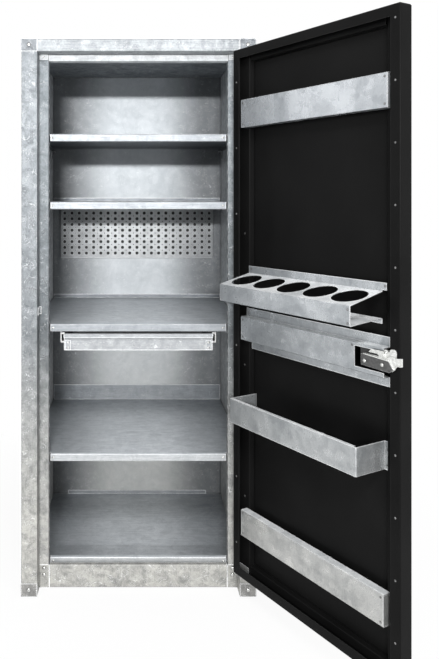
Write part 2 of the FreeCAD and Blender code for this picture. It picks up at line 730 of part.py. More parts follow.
inner_member = fold(inner_member_line, "Y", SLIDE_FRONT, DRAWER_REAR, PANEL_GAUGE, -1)
save("slide_outer_members", Part.makeCompound(both([outer_member])))
save("slide_middle_members", Part.makeCompound(both([middle_member])))
save("slide_inner_members", Part.makeCompound(both([inner_member])))

hanger_top = SHELF_3_TOP - PANEL_GAUGE
hanger_line = [(SLIDE_OUT, SLIDE_LOW - 2), (SLIDE_OUT, hanger_top), (SLIDE_OUT + HANGER_FLANGE, hanger_top)]
hanger = fold(hanger_line, "Y", HANGER_FRONT, SLIDE_REAR + 5, FRAME_GAUGE, -1)
save("drawer_hangers", Part.makeCompound(both([hanger])))

# ---------------------------------------------------------------------------
# Continuous hinge
# ---------------------------------------------------------------------------

hinge_length = DOOR_HIGH - DOOR_LOW
knuckle_pitch = hinge_length / KNUCKLE_COUNT


def hinge_leaf(x0, x1, bore, own_parity):
    """Leaf with its own knuckles and gaps around the other leaf's knuckles."""
    plate = block(x0, x1, -HINGE_LEAF, 0, DOOR_LOW, DOOR_HIGH)
    tube = rod(HINGE_X, HINGE_Y, DOOR_LOW, HINGE_RADIUS, hinge_length, (0, 0, 1))
    cutters = [rod(HINGE_X, HINGE_Y, DOOR_LOW - 1, bore, hinge_length + 2, (0, 0, 1))]
    for index in range(KNUCKLE_COUNT):
        if index % 2 != own_parity:
            low = DOOR_LOW + index * knuckle_pitch - KNUCKLE_GAP / 2
            room = HINGE_RADIUS + KNUCKLE_GAP
            cutters.append(rod(HINGE_X, HINGE_Y, low, room, knuckle_pitch + KNUCKLE_GAP, (0, 0, 1)))
    return pierced(plate.fuse(tube), cutters)


frame_leaf = hinge_leaf(HINGE_X, HINGE_X + HINGE_FRAME_LEAF_WIDTH, HINGE_PIN_RADIUS, 0)
door_leaf = hinge_leaf(HINGE_X - HINGE_DOOR_LEAF_WIDTH, HINGE_X, HINGE_PIN_RADIUS + RUN_GAP, 1)
save("hinge_frame_leaf", frame_leaf)
save_door("hinge_door_leaf", door_leaf)
save("hinge_pin", rod(HINGE_X, HINGE_Y, DOOR_LOW, HINGE_PIN_RADIUS, hinge_length, (0, 0, 1)))

# ---------------------------------------------------------------------------
# Door shell and channels
# ---------------------------------------------------------------------------

corner_room = BEND_RADIUS + DOOR_GAUGE
shell_line = [
    (DOOR_NEAR + DOOR_FLANGE, DOOR_THICK),
    (DOOR_NEAR, DOOR_THICK),
    (DOOR_NEAR, 0),
    (DOOR_FAR, 0),
    (DOOR_FAR, DOOR_THICK),
    (DOOR_FAR - DOOR_FLANGE, DOOR_THICK),
]
shell_high = DOOR_HIGH - DOOR_FLANGE
shell_low = DOOR_LOW + DOOR_FLANGE
high_line = [(0, DOOR_HIGH - 20), (0, DOOR_HIGH), (DOOR_THICK, DOOR_HIGH), (DOOR_THICK, shell_high)]
low_line = [(0, DOOR_LOW + 20), (0, DOOR_LOW), (DOOR_THICK, DOOR_LOW), (DOOR_THICK, shell_low)]
shell_near = DOOR_NEAR + corner_room
shell_far = DOOR_FAR - corner_room
door_shell = joined([
    door_fold(shell_line, DOOR_LOW + corner_room, DOOR_HIGH - corner_room, DOOR_GAUGE, 1),
    door_strip(high_line, shell_near, shell_far, DOOR_GAUGE, -1),
    door_strip(low_line, shell_near, shell_far, DOOR_GAUGE, 1),
])
spindle_u = PIVOT_U + SPINDLE_A
spindle_hole = door_rod(spindle_u, -5, PIVOT_Z, SPINDLE_RADIUS + RUN_GAP, 10)
save_door("door_shell", door_shell.cut(spindle_hole))

channel_low = DOOR_LOW + corner_room
channel_high = DOOR_HIGH - corner_room
door_wall_low = DOOR_LOW + DOOR_GAUGE + PANEL_GAUGE
door_wall_high = DOOR_HIGH - DOOR_GAUGE - PANEL_GAUGE
near_inside = DOOR_NEAR + DOOR_GAUGE + PANEL_GAUGE
far_inside = DOOR_FAR - DOOR_GAUGE - PANEL_GAUGE
channel_lip = DOOR_THICK - DOOR_GAUGE - 2
hinge_channel_line = [
    (near_inside, channel_lip),
    (near_inside, CHANNEL_RISE),
    (HINGE_CHANNEL_FACE, CHANNEL_RISE),
    (HINGE_CHANNEL_FOOT, DOOR_GAUGE),
    (HINGE_CHANNEL_FOOT - CHANNEL_FOOT_WIDTH, DOOR_GAUGE),
]
lock_channel_line = [
    (far_inside, channel_lip),
    (far_inside, CHANNEL_RISE),
    (LOCK_CHANNEL_FACE, CHANNEL_RISE),
    (LOCK_CHANNEL_FOOT, DOOR_GAUGE),
    (LOCK_CHANNEL_FOOT + CHANNEL_FOOT_WIDTH, DOOR_GAUGE),
]
save_door("door_hinge_channel", door_fold(hinge_channel_line, channel_low, channel_high, PANEL_GAUGE, -1))
save_door("door_lock_channel", door_fold(lock_channel_line, channel_low, channel_high, PANEL_GAUGE, 1))

top_cross_line = [
    (channel_lip, door_wall_high),
    (CHANNEL_RISE, door_wall_high),
    (CHANNEL_RISE, DOOR_HIGH - CROSS_CHANNEL_FACE),
    (DOOR_GAUGE, DOOR_HIGH - CROSS_CHANNEL_FOOT),
    (DOOR_GAUGE, DOOR_HIGH - CROSS_CHANNEL_FOOT + CHANNEL_FOOT_WIDTH),
]
low_cross_line = [
    (channel_lip, door_wall_low),
    (CHANNEL_RISE, door_wall_low),
    (CHANNEL_RISE, DOOR_LOW + CROSS_CHANNEL_FACE),
    (DOOR_GAUGE, DOOR_LOW + CROSS_CHANNEL_FOOT),
    (DOOR_GAUGE, DOOR_LOW + CROSS_CHANNEL_FOOT - CHANNEL_FOOT_WIDTH),
]
cross_near = HINGE_CHANNEL_FOOT + 0.2
cross_far = LOCK_CHANNEL_FOOT - 0.2
cross_channels = [
    door_strip(top_cross_line, cross_near, cross_far, PANEL_GAUGE, -1),
    door_strip(low_cross_line, cross_near, cross_far, PANEL_GAUGE, 1),
]
save_door("door_cross_channels", Part.makeCompound(cross_channels))

clip_top = CHANNEL_RISE + CAP_GAUGE
clip_line = [
    (clip_top, DOOR_LOW + CROSS_CHANNEL_FOOT - 12),
    (clip_top, door_wall_low + CAP_GAUGE),
    (channel_lip, door_wall_low + CAP_GAUGE),
]
corner_clip = door_strip(clip_line, near_inside + 1.5, HINGE_CHANNEL_FACE - 2, CAP_GAUGE, 1)
save_door("door_corner_clip", corner_clip)

# ---------------------------------------------------------------------------
# Door fittings
# ---------------------------------------------------------------------------

fitting_back = CHANNEL_RISE


def shallow_rail(near, far, low, height):
    """Shallow tray: closed front face, top, bottom and end returns."""
    high = low + height
    front_line = [(fitting_back, low), (DOOR_THICK, low), (DOOR_THICK, high), (fitting_back, high)]
    body = door_strip(front_line, near, far, PANEL_GAUGE, 1)
    room = PANEL_GAUGE + BEND_RADIUS
    ends = []
    for u0, u1 in ((near, near + PANEL_GAUGE), (far - PANEL_GAUGE, far)):
        ends.append(door_block(u0, u1, fitting_back, DOOR_THICK - PANEL_GAUGE, low + room, high - room))
    return joined([body] + ends)


save_door("upper_rail", shallow_rail(RAIL_NEAR, UPPER_RAIL_FAR, UPPER_RAIL_LOW, UPPER_RAIL_HEIGHT))
save_door("lower_rail", shallow_rail(RAIL_NEAR, LOWER_RAIL_FAR, LOWER_RAIL_LOW, LOWER_RAIL_HEIGHT))

can_low = CAN_TOP - CAN_HEIGHT
can_rear = fitting_back + PANEL_GAUGE
can_rear_top = CAN_TOP + CAN_TOP_RISE
can_rear_low = can_low + CAN_FLOOR_RISE
can_line = [
    (can_rear, can_rear_top + CAN_BACK),
    (can_rear, can_rear_top),
    (CAN_REACH, CAN_TOP),
    (CAN_REACH, can_low),
    (can_rear, can_rear_low),
    (can_rear, can_rear_low - 10),
]
can_holder = door_strip(can_line, CAN_NEAR, CAN_FAR, PANEL_GAUGE, -1)
can_back_top = can_rear_top + CAN_BACK
can_tab = door_block(CAN_FAR - 1, CAN_TAB_FAR, fitting_back, can_rear, can_rear_top + 3, can_back_top)
can_slope = CAN_TOP_RISE / (CAN_REACH - can_rear)
can_hole_z = CAN_TOP + (CAN_REACH - CAN_HOLE_DEPTH) * can_slope
can_normal = Vector(0, can_slope, 1).normalize()
can_holes = []
can_first = (CAN_NEAR + CAN_FAR) / 2 - (CAN_HOLES - 1) / 2 * CAN_HOLE_PITCH
for index in range(CAN_HOLES):
    u = can_first + index * CAN_HOLE_PITCH
    centre = Vector(HINGE_X - u, CAN_HOLE_DEPTH, can_hole_z) - can_normal * 4
    can_holes.append(Part.makeCylinder(CAN_HOLE_RADIUS, 8, centre, can_normal))
save_door("can_holder", pierced(can_holder.fuse(can_tab), can_holes))

bar_high = BAR_LOW + BAR_HEIGHT
bar_line = [
    (fitting_back + PANEL_GAUGE, bar_high + BAR_BACK),
    (fitting_back + PANEL_GAUGE, bar_high),
    (DOOR_THICK, bar_high),
    (DOOR_THICK, BAR_LOW),
    (fitting_back + PANEL_GAUGE, BAR_LOW),
    (fitting_back + PANEL_GAUGE, BAR_LOW - BAR_BACK),
]
latch_bar = door_strip(bar_line, RAIL_NEAR, BAR_FAR, PANEL_GAUGE, -1)
bar_foot_low = BAR_LOW - BAR_BACK - 1
bar_foot_high = BAR_LOW - PANEL_GAUGE - 1.5
bar_cuts = [
    door_block(BAR_WINDOW, BAR_FAR + 1, DOOR_THICK - 5, DOOR_THICK + 1, BAR_WINDOW_LOW, BAR_WINDOW_HIGH),
    door_block(RAIL_NEAR - 1, RAIL_NEAR + 20, 0, DOOR_THICK - 5, bar_foot_low, bar_foot_high),
]
save_door("latch_bar", pierced(latch_bar, bar_cuts))

tray_high = TRAY_LOW + TRAY_HEIGHT
tray_line = [
    (TRAY_NEAR, DOOR_GAUGE),
    (TRAY_NEAR, TRAY_REACH),
    (TRAY_FAR, TRAY_REACH),
    (TRAY_FAR, DOOR_GAUGE + PANEL_GAUGE),
    (TRAY_FAR + TRAY_TAB, DOOR_GAUGE + PANEL_GAUGE),
]
tray_wall = door_fold(tray_line, TRAY_LOW, tray_high, PANEL_GAUGE, -1)
tray_floor = door_block(
    TRAY_NEAR + PANEL_GAUGE, TRAY_FAR - PANEL_GAUGE, DOOR_GAUGE, TRAY_REACH - PANEL_GAUGE,
    TRAY_LOW + 4, TRAY_LOW + 4 + PANEL_GAUGE)
tray_hem = door_block(
    TRAY_NEAR + 4, TRAY_FAR - 8, TRAY_REACH - TRAY_HEM, TRAY_REACH - PANEL_GAUGE / 2,
    tray_high - PANEL_GAUGE, tray_high)
save_door("middle_tray", joined([tray_wall, tray_floor, tray_hem]))

# Fastener heads that show on the inside of the door
door_screws = []
span = DOOR_HIGH - DOOR_LOW
flange_near = DOOR_NEAR + DOOR_FLANGE / 2 + 2
flange_far = DOOR_FAR - DOOR_FLANGE / 2
channel_screw_u = HINGE_CHANNEL_FACE - 18
for index in range(NEAR_SCREWS):
    z = DOOR_LOW + span * (index + 0.5) / NEAR_SCREWS
    door_screws.append(door_dome(flange_near, DOOR_THICK, z, SMALL_SCREW_HEAD, SMALL_SCREW_RISE))
for index in range(FAR_SCREWS):
    z = DOOR_LOW + span * (index + 0.77) / FAR_SCREWS
    door_screws.append(door_dome(flange_far, DOOR_THICK, z, SMALL_SCREW_HEAD, SMALL_SCREW_RISE))
for index in range(CHANNEL_SCREWS):
    z = DOOR_LOW + span * (index + 0.6) / CHANNEL_SCREWS
    door_screws.append(door_dome(channel_screw_u, CHANNEL_RISE, z, SMALL_SCREW_HEAD, SMALL_SCREW_RISE))
rail_rows = (
    (UPPER_RAIL_LOW, UPPER_RAIL_HEIGHT, UPPER_RAIL_FAR),
    (LOWER_RAIL_LOW, LOWER_RAIL_HEIGHT, LOWER_RAIL_FAR),
)
for low, height, far in rail_rows:
    for u in (RAIL_NEAR + 6, far - 7):
        for z in (low + 8, low + height - 8):
            door_screws.append(door_dome(u, DOOR_THICK, z, SMALL_SCREW_HEAD, SMALL_SCREW_RISE))
for z in (BAR_LOW + 8, bar_high - 8):
    door_screws.append(door_dome(RAIL_NEAR + 6, DOOR_THICK, z, SMALL_SCREW_HEAD, SMALL_SCREW_RISE))
door_screws.append(door_dome(BAR_WINDOW - 7, DOOR_THICK, bar_high - 8, SMALL_SCREW_HEAD, SMALL_SCREW_RISE))
for z in (can_low + 6, CAN_TOP - 8):
    door_screws.append(door_dome(CAN_FAR - 6, CAN_REACH, z, SMALL_SCREW_HEAD, SMALL_SCREW_RISE))
tab_u = CAN_TAB_FAR - 4
tab_z = can_rear_top + 11
door_screws.append(door_dome(tab_u, can_rear, tab_z, SMALL_SCREW_HEAD, SMALL_SCREW_RISE))
door_screws.append(door_dome(CAN_NEAR + 9, can_rear, tab_z, SMALL_SCREW_HEAD, SMALL_SCREW_RISE))
tray_tab_t = DOOR_GAUGE + PANEL_GAUGE
for z in (TRAY_LOW + 10, tray_high - 16):
    door_screws.append(door_dome(TRAY_FAR + 7, tray_tab_t, z, SMALL_SCREW_HEAD, SMALL_SCREW_RISE))
save_door("door_screws", Part.makeCompound(door_screws))

# ---------------------------------------------------------------------------
# Latch
# ---------------------------------------------------------------------------

housing = joined([
    door_block(HOUSING_NEAR, HOUSING_FAR, DOOR_GAUGE, HOUSING_T, HOUSING_LOW, HOUSING_HIGH),
    door_block(HOUSING_FAR - 5, HOUSING_END, CHANNEL_RISE, HOUSING_T, HOUSING_LOW, HOUSING_HIGH),
])
wall_t = HOUSING_T - HOUSING_WALL
wall_near = HOUSING_NEAR + HOUSING_WALL
wall_far = HOUSING_FAR - HOUSING_WALL
wall_end = HOUSING_END - HOUSING_WALL
wall_z_low = HOUSING_LOW + HOUSING_WALL
wall_z_high = HOUSING_HIGH - HOUSING_WALL
housing_cuts = [
    door_block(wall_near, wall_far, 0, wall_t, wall_z_low, wall_z_high),
    door_block(HOUSING_FAR - 6, wall_end, CHANNEL_RISE + HOUSING_WALL, wall_t, wall_z_low, wall_z_high),
    door_rod(spindle_u, HOUSING_T - 5, PIVOT_Z, CRANK_RADIUS + CRANK_PIN_RADIUS + LATCH_GAP + 1, 10),
]
save_door("latch_housing", pierced(housing, housing_cuts))


def lever_point(a, b):
    """Door position (u, z) of a point on the lever."""
    return PIVOT_U + a, PIVOT_Z + b


def lever_plate(outline, t, gauge):
    """Flat plate on the latch from (a, b) corners."""
    return door_plate([lever_point(a, b) for a, b in outline], t, gauge)


def slot_cut(a0, a1, b0, b1, radius, t, length):
    """Straight slot with round ends through a plate on the latch."""
    u0, z0 = lever_point(a0, b0)
    u1, z1 = lever_point(a1, b1)
    ends = [door_rod(u0, t, z0, radius, length), door_rod(u1, t, z1, radius, length)]
    if a1 > a0:
        ends.append(door_block(u0, u1, t, t + length, z0 - radius, z0 + radius))
    else:
        ends.append(door_block(u0 - radius, u0 + radius, t, t + length, z0, z1))
    return joined(ends)


# Lever: plate behind the cover, raised finger, lobe, neck and bolt end
lever_outline = [
    (LEVER_LEFT, -8), (60, -11.3), (66, -9), (69.5, -7.2), (72.2, -4.8), (74.5, -0.5), (77.5, 2.4),
    (81, 3.2), (84, 2.8), (TIP_A, 4.2), (TIP_A, 20), (80, 18.4), (73, 18), (62, 19), (46, 18.5),
    (46, 26.4), (15, 26), (8.5, 18.8), (30, 18.8), (36, 14.5), (-0.5, 15.4), (LEVER_LEFT, 12.9),
]
lever = lever_plate(lever_outline, LEVER_NEAR_T, LEVER_GAUGE)
lip_outline = [(-0.5, 15.4), (LIP_A, 12.2), (LIP_A, 12.2 - LIP_GAUGE), (-0.5, 15.4 - LIP_GAUGE)]
rib_outline = [(LIP_A, 12.2), (RIB_A, -3.5), (RIB_A - 1.7, -4.6), (LIP_A - 1.3, 10.3), (LIP_A - 2, 12.2)]
lever_lip = lever_plate(lip_outline, LEVER_NEAR_T, LIP_T - LEVER_NEAR_T)
lever_rib = lever_plate(rib_outline, LEVER_NEAR_T, COVER_T + COVER_GAUGE - LEVER_NEAR_T)
pin_near = SPINDLE_A - CRANK_RADIUS
pin_far = math.sqrt(SPINDLE_A ** 2 + CRANK_RADIUS ** 2 - SPINDLE_A * CRANK_RADIUS)
lever_cut_t = LEVER_NEAR_T - 1
lever_cut_length = LEVER_GAUGE + 2
guide_rise = GUIDE_A * math.sin(math.radians(LEVER_SWING))
lever_cuts = [
    door_rod(PIVOT_U, lever_cut_t, PIVOT_Z, PIVOT_RADIUS + RUN_GAP, lever_cut_length),
    slot_cut(pin_near, pin_far, 0, 0, CRANK_PIN_RADIUS + LATCH_GAP, lever_cut_t, lever_cut_length),
    slot_cut(GUIDE_A, GUIDE_A, -guide_rise, 0, GUIDE_RADIUS + LATCH_GAP, lever_cut_t, lever_cut_length),
]
# Relief along the path of the tab's ball rivet while the lever swings up
ball_radius = GUIDE_RADIUS + 1
relief_radius = ball_radius + LATCH_GAP
ball_reach = math.hypot(TAB_A, TAB_B)
ball_start = math.atan2(TAB_B, TAB_A)
ball_end = ball_start - math.radians(LEVER_SWING)
relief = door_rod(PIVOT_U, lever_cut_t, PIVOT_Z, ball_reach + relief_radius, lever_cut_length)
relief = relief.cut(door_rod(PIVOT_U, lever_cut_t, PIVOT_Z, ball_reach - relief_radius, lever_cut_length))
relief_sector = [(0, 0)]
for angle in (ball_start, ball_end):
    relief_sector.append((2 * ball_reach * math.cos(angle), 2 * ball_reach * math.sin(angle)))
relief = relief.common(lever_plate(relief_sector, lever_cut_t, lever_cut_length))
lever_cuts.append(relief)
for angle in (ball_start, ball_end):
    relief_u, relief_z = lever_point(ball_reach * math.cos(angle), ball_reach * math.sin(angle))
    lever_cuts.append(door_rod(relief_u, lever_cut_t, relief_z, relief_radius, lever_cut_length))
save_door("latch_lever", pierced(joined([lever, lever_lip, lever_rib]), lever_cuts))

cover_outline = [
    (LEVER_LEFT, 12.9), (LEVER_LEFT, -7.2), (LEVER_LEFT + 0.9, -8.7), (LEVER_LEFT + 2.6, -9.3), (61.5, -12),
    (68.6, -4.8), (58.9, 9.7), (-3, 12.9),
]
cover = lever_plate(cover_outline, COVER_T, COVER_GAUGE)
rivet_top = COVER_T + COVER_GAUGE
guide_u = PIVOT_U + GUIDE_A
cover_cuts = [
    door_rod(PIVOT_U, COVER_T - 1, PIVOT_Z, PIVOT_RADIUS + RUN_GAP, COVER_GAUGE + 2),
    door_rod(guide_u, COVER_T - 1, PIVOT_Z, GUIDE_RADIUS + RUN_GAP, COVER_GAUGE + 2),
]
save_door("latch_cover", pierced(cover, cover_cuts))

tab_pivot_u, tab_pivot_z = lever_point(TAB_A, TAB_B)
tab_top = TAB_T + TAB_GAUGE + 0.3
pivot_rivet = joined([
    door_rod(PIVOT_U, HOUSING_T, PIVOT_Z, PIVOT_RADIUS, rivet_top - HOUSING_T),
    door_rod(PIVOT_U, rivet_top, PIVOT_Z, LATCH_HEAD, 0.8),
    door_dome(PIVOT_U, rivet_top + 0.8, PIVOT_Z, LATCH_HEAD, LATCH_HEAD_RISE),
    door_rod(PIVOT_U, HOUSING_T, PIVOT_Z, PIVOT_RADIUS + 3, LEVER_NEAR_T - HOUSING_T - 0.1),
])
guide_rivet = joined([
    door_rod(guide_u, CHANNEL_RISE, PIVOT_Z, GUIDE_RADIUS, rivet_top - CHANNEL_RISE),
    door_rod(guide_u, rivet_top, PIVOT_Z, LATCH_HEAD, 0.8),
    door_dome(guide_u, rivet_top + 0.8, PIVOT_Z, LATCH_HEAD, LATCH_HEAD_RISE),
    door_rod(guide_u, CHANNEL_RISE, PIVOT_Z, GUIDE_RADIUS + 1.2, LEVER_NEAR_T - CHANNEL_RISE - 0.1),
])
tab_pivot = joined([
    door_rod(tab_pivot_u, CHANNEL_RISE, tab_pivot_z, GUIDE_RADIUS, tab_top - CHANNEL_RISE),
    door_rod(tab_pivot_u, CHANNEL_RISE, tab_pivot_z, GUIDE_RADIUS + 1.5, TAB_T - CHANNEL_RISE - 0.1),
    door_dome(tab_pivot_u, tab_top, tab_pivot_z, ball_radius, 2.4),
])
save_door("latch_rivets", Part.makeCompound([pivot_rivet, guide_rivet, tab_pivot]))

tab_outline = [
    (42, 13.5), (57, 12.5), (73, 16.5), (74.2, 24), (73.4, 29.5), (71.5, 32.3), (68, 33.6), (62, 32.6),
    (58.3, 30.6), (57.5, 26), (54.5, 26), (53, 28.8), (49, 30.3), (45, 28.8), (43.2, 25.5), (42, 20),
]
tab_plate = lever_plate(tab_outline, TAB_T, TAB_GAUGE)
tab_cuts = [door_rod(tab_pivot_u, TAB_T - 1, tab_pivot_z, GUIDE_RADIUS + RUN_GAP, TAB_GAUGE + 2)]
for a in (64, 68):
    hole_u, hole_z = lever_point(a, 28)
    tab_cuts.append(door_rod(hole_u, TAB_T - 1, hole_z, 0.8, TAB_GAUGE + 2))
save_door("latch_tab", pierced(tab_plate, tab_cuts))

# Handle, spindle and crank in one piece; the crank pin stands in the lever slot
rose_u = spindle_u
rose = door_block(
    rose_u - ROSE_HALF_WIDTH, rose_u + ROSE_HALF_WIDTH, -ROSE_GAUGE, 0,
    PIVOT_Z - ROSE_HALF_HEIGHT, PIVOT_Z + ROSE_HALF_HEIGHT)
upright = [edge for edge in rose.Edges if abs(edge.tangentAt(edge.FirstParameter).y) > 0.9]
rose = rose.makeFillet(8.0, upright)
save_door("handle_rose", rose.cut(door_rod(spindle_u, -10, PIVOT_Z, SPINDLE_RADIUS + RUN_GAP, 20)))

handle_face = -ROSE_GAUGE - 0.4
hub = door_rod(spindle_u, handle_face - HUB_REACH, PIVOT_Z, HUB_RADIUS, HUB_REACH)
grip_t = handle_face - HUB_REACH + GRIP_RADIUS
grip = rod(HINGE_X - spindle_u, grip_t, PIVOT_Z - GRIP_LENGTH, GRIP_RADIUS, GRIP_LENGTH, (0, 0, 1))
grip_end = Part.makeSphere(GRIP_RADIUS, Vector(HINGE_X - spindle_u, grip_t, PIVOT_Z - GRIP_LENGTH))
crank_t = 25.0
spindle = door_rod(spindle_u, handle_face, PIVOT_Z, SPINDLE_RADIUS, crank_t - handle_face)
crank_disc = door_rod(spindle_u, crank_t - 0.01, PIVOT_Z, CRANK_DISC_RADIUS, 4)
crank_pin_u = spindle_u - CRANK_RADIUS
crank_pin = door_rod(crank_pin_u, crank_t + 3, PIVOT_Z, CRANK_PIN_RADIUS, COVER_T - crank_t - 3.5)
lock_bore = door_rod(spindle_u, handle_face - HUB_REACH - 1, PIVOT_Z, LOCK_RADIUS + RUN_GAP, LOCK_DEPTH + 1)
handle = joined([hub, grip, grip_end, spindle, crank_disc, crank_pin]).cut(lock_bore)
save_door("door_handle", handle)

lock_face = handle_face - HUB_REACH - 1.5
lock = door_rod(spindle_u, lock_face, PIVOT_Z, LOCK_RADIUS, LOCK_DEPTH + 1.2)
keyway = door_block(spindle_u - 1, spindle_u + 1, lock_face - 1, lock_face + 5, PIVOT_Z - 4.5, PIVOT_Z + 4.5)
save_door("lock_cylinder", lock.cut(keyway))

# Keeper on the post at the latch side
keeper_line = [
    (-OPENING_HALF, KEEPER_FRONT),
    (-OPENING_HALF, KEEPER_REAR),
    (-OPENING_HALF + KEEPER_REACH, KEEPER_REAR),
]
keeper_low = PIVOT_Z + 22
save("latch_keeper", fold(keeper_line, "Z", keeper_low, keeper_low + KEEPER_HEIGHT, KEEPER_GAUGE, -1))
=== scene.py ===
import json
import logging
import math
from dataclasses import dataclass, field
from enum import Enum

import bpy
from mathutils import Matrix, Vector


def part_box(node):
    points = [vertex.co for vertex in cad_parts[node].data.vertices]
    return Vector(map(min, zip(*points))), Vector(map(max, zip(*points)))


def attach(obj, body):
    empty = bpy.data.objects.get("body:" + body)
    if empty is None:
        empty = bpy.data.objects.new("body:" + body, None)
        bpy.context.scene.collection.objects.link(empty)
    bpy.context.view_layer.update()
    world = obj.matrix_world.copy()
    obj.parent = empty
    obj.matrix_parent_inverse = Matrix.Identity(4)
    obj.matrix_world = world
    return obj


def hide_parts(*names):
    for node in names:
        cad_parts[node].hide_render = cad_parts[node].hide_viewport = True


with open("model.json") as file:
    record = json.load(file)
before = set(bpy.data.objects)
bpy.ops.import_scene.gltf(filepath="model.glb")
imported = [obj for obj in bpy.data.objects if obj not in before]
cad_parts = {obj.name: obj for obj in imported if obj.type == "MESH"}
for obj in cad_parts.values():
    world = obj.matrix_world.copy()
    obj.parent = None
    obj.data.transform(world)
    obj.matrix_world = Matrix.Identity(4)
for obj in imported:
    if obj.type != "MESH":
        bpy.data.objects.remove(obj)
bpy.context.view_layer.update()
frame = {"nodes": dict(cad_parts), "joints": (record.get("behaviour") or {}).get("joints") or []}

Tree = bpy.types.NodeTree
Node = bpy.types.Node
Socket = bpy.types.NodeSocket

LOG = logging.getLogger("side_locker")
MM = 0.001
FRONTWARD = Vector((0.0, -1.0, 0.0))
UPWARD = Vector((0.0, 0.0, 1.0))
LATCH_AXIS = next(joint["axis"] for joint in frame["joints"] if joint["name"] == "latch_lever_pivot")
DOOR_INWARD = Vector(LATCH_AXIS).normalized()

# Vertices nearer than this are one, because a carried-over mesh is loose triangles.
MERGE_MM = 0.01
# A noise texture's values lie mostly between these two.
NOISE_SPAN = (0.3, 0.7)
# Levels of detail in a noise: one smooth wave, a fine grain, a ragged patch.
SMOOTH_DETAIL = 1.0
FINE_DETAIL = 2.0
PATCH_DETAIL = 3.0
# Rays that a Bevel or Ambient Occlusion node sends from each point.
EDGE_RAYS = 6
# Cosine between flat and rounded normal: on the flat, and where a fold takes the full painted highlight.
FOLD_COSINES = (0.985, 0.92)
# Open share of a point's surroundings: where painted shade starts, and where it is darkest.
SHADE_OPENNESS = (0.72, 0.25)
# Cosine between a surface and a direction: turned away from it, and facing it.
FACING_COSINES = (0.6, 0.9)
# Cosine between a head's surface and its axis: on the crown, and on the steep rim.
RIM_COSINES = (0.95, 0.75)
# Inputs that the "span" and "onto" settings of add_node fill on a Map Range node.
RANGE_ENDS = {"span": ("From Min", "From Max"), "onto": ("To Min", "To Max")}


def linear_rgba(hex_code: str) -> tuple[float, float, float, float]:
    """Turn an sRGB hex colour into linear RGBA.

    Args:
        hex_code: Six hex digits, such as "B0AFAB".

    Returns:
        Linear red, green and blue with an alpha of one.
    """
    channels = [int(hex_code[i:i + 2], 16) / 255 for i in (0, 2, 4)]
    linear = [c / 12.92 if c <= 0.04045 else ((c + 0.055) / 1.055) ** 2.4 for c in channels]
    return (linear[0], linear[1], linear[2], 1.0)


def add_node(tree: Tree, kind: str, links: dict[str | int, Socket] | None = None,
             **settings: object) -> Node:
    """Add one shader node with its settings and incoming links.

    On a Mix node that blends colours, inputs 0, 6 and 7 are the share, the
    colour below and the colour above, and output 2 is the blend.

    Args:
        tree: The material's or world's node tree.
        kind: Blender's node class name.
        links: Input name or index to the output socket that feeds it.
        **settings: Node properties by name. A key starting with "in_" sets the
            default of the input with that name or index, "ramp" gives a colour
            ramp's stops as (position, sRGB hex) pairs, and "span" and "onto"
            give the two ends of a Map Range node's input and output.

    Returns:
        The new node.
    """
    node = tree.nodes.new(kind)
    for key, value in settings.items():
        if key.startswith("in_"):
            name = key[3:].replace("_", " ")
            socket = node.inputs[int(name)] if name.isdigit() else node.inputs[name]
            socket.default_value = value
        elif key in RANGE_ENDS:
            for name, end in zip(RANGE_ENDS[key], value):
                node.inputs[name].default_value = end
        elif key == "ramp":
            stops = node.color_ramp.elements
            while len(stops) < len(value):
                stops.new(0.5)
            for stop, (position, colour) in zip(stops, value):
                stop.position = position
                stop.color = linear_rgba(colour)
        else:
            setattr(node, key, value)
    for name, source in (links or {}).items():
        tree.links.new(source, node.inputs[name])
    return node


def empty_tree(owner: bpy.types.Material | bpy.types.World) -> Tree:
    """Switch on nodes and clear them.

    Args:
        owner: The material or world that has the nodes.

    Returns:
        Its node tree.
    """
    owner.use_nodes = True
    owner.node_tree.nodes.clear()
    return owner.node_tree


def blank_material(name: str) -> tuple[bpy.types.Material, Node]:
    """Make an empty node material with its shader and output.

    Args:
        name: The material's name.

    Returns:
        The material and its Principled shader node.
    """
    material = bpy.data.materials.new(name)
    tree = empty_tree(material)
    shader = add_node(tree, "ShaderNodeBsdfPrincipled")
    add_node(tree, "ShaderNodeOutputMaterial", {"Surface": shader.outputs[0]})
    return material, shader


def object_place(tree: Tree) -> Socket:
    """Return the socket that gives a surface point in the object's own frame."""
    return add_node(tree, "ShaderNodeTexCoord").outputs["Object"]


def noise_scale(size_mm: float) -> float:
    """Return the texture scale at which a pattern's cells are this many millimetres wide."""
    return 1 / (size_mm * MM)


def fold_share(tree: Tree, reach_mm: float) -> Socket:
    """Find folds and cut edges, where a painted highlight brightens the finish.

    Args:
        tree: The material's node tree.
        reach_mm: How far from the edge the painted highlight reaches.

    Returns:
        A socket that is 1 on an edge and 0 on the flat.
    """
    flat = add_node(tree, "ShaderNodeNewGeometry").outputs["Normal"]
    rounded = add_node(tree, "ShaderNodeBevel", samples=EDGE_RAYS, in_Radius=reach_mm * MM)
    turn = add_node(tree, "ShaderNodeVectorMath", {0: flat, 1: rounded.outputs[0]},
                    operation="DOT_PRODUCT")
    return add_node(tree, "ShaderNodeMapRange", {"Value": turn.outputs["Value"]},
                    span=FOLD_COSINES).outputs[0]


def crevice_shade(tree: Tree, reach_mm: float) -> Socket:
    """Find inner corners and seams, where shade is painted.

    Args:
        tree: The material's node tree.
        reach_mm: How far out of the corner the painted shade reaches.

    Returns:
        A socket that is 1 deep in a seam and 0 in the open.
    """
    openness = add_node(tree, "ShaderNodeAmbientOcclusion", samples=EDGE_RAYS, in_Distance=reach_mm * MM)
    return add_node(tree, "ShaderNodeMapRange", {"Value": openness.outputs["AO"]},
                    span=SHADE_OPENNESS).outputs[0]


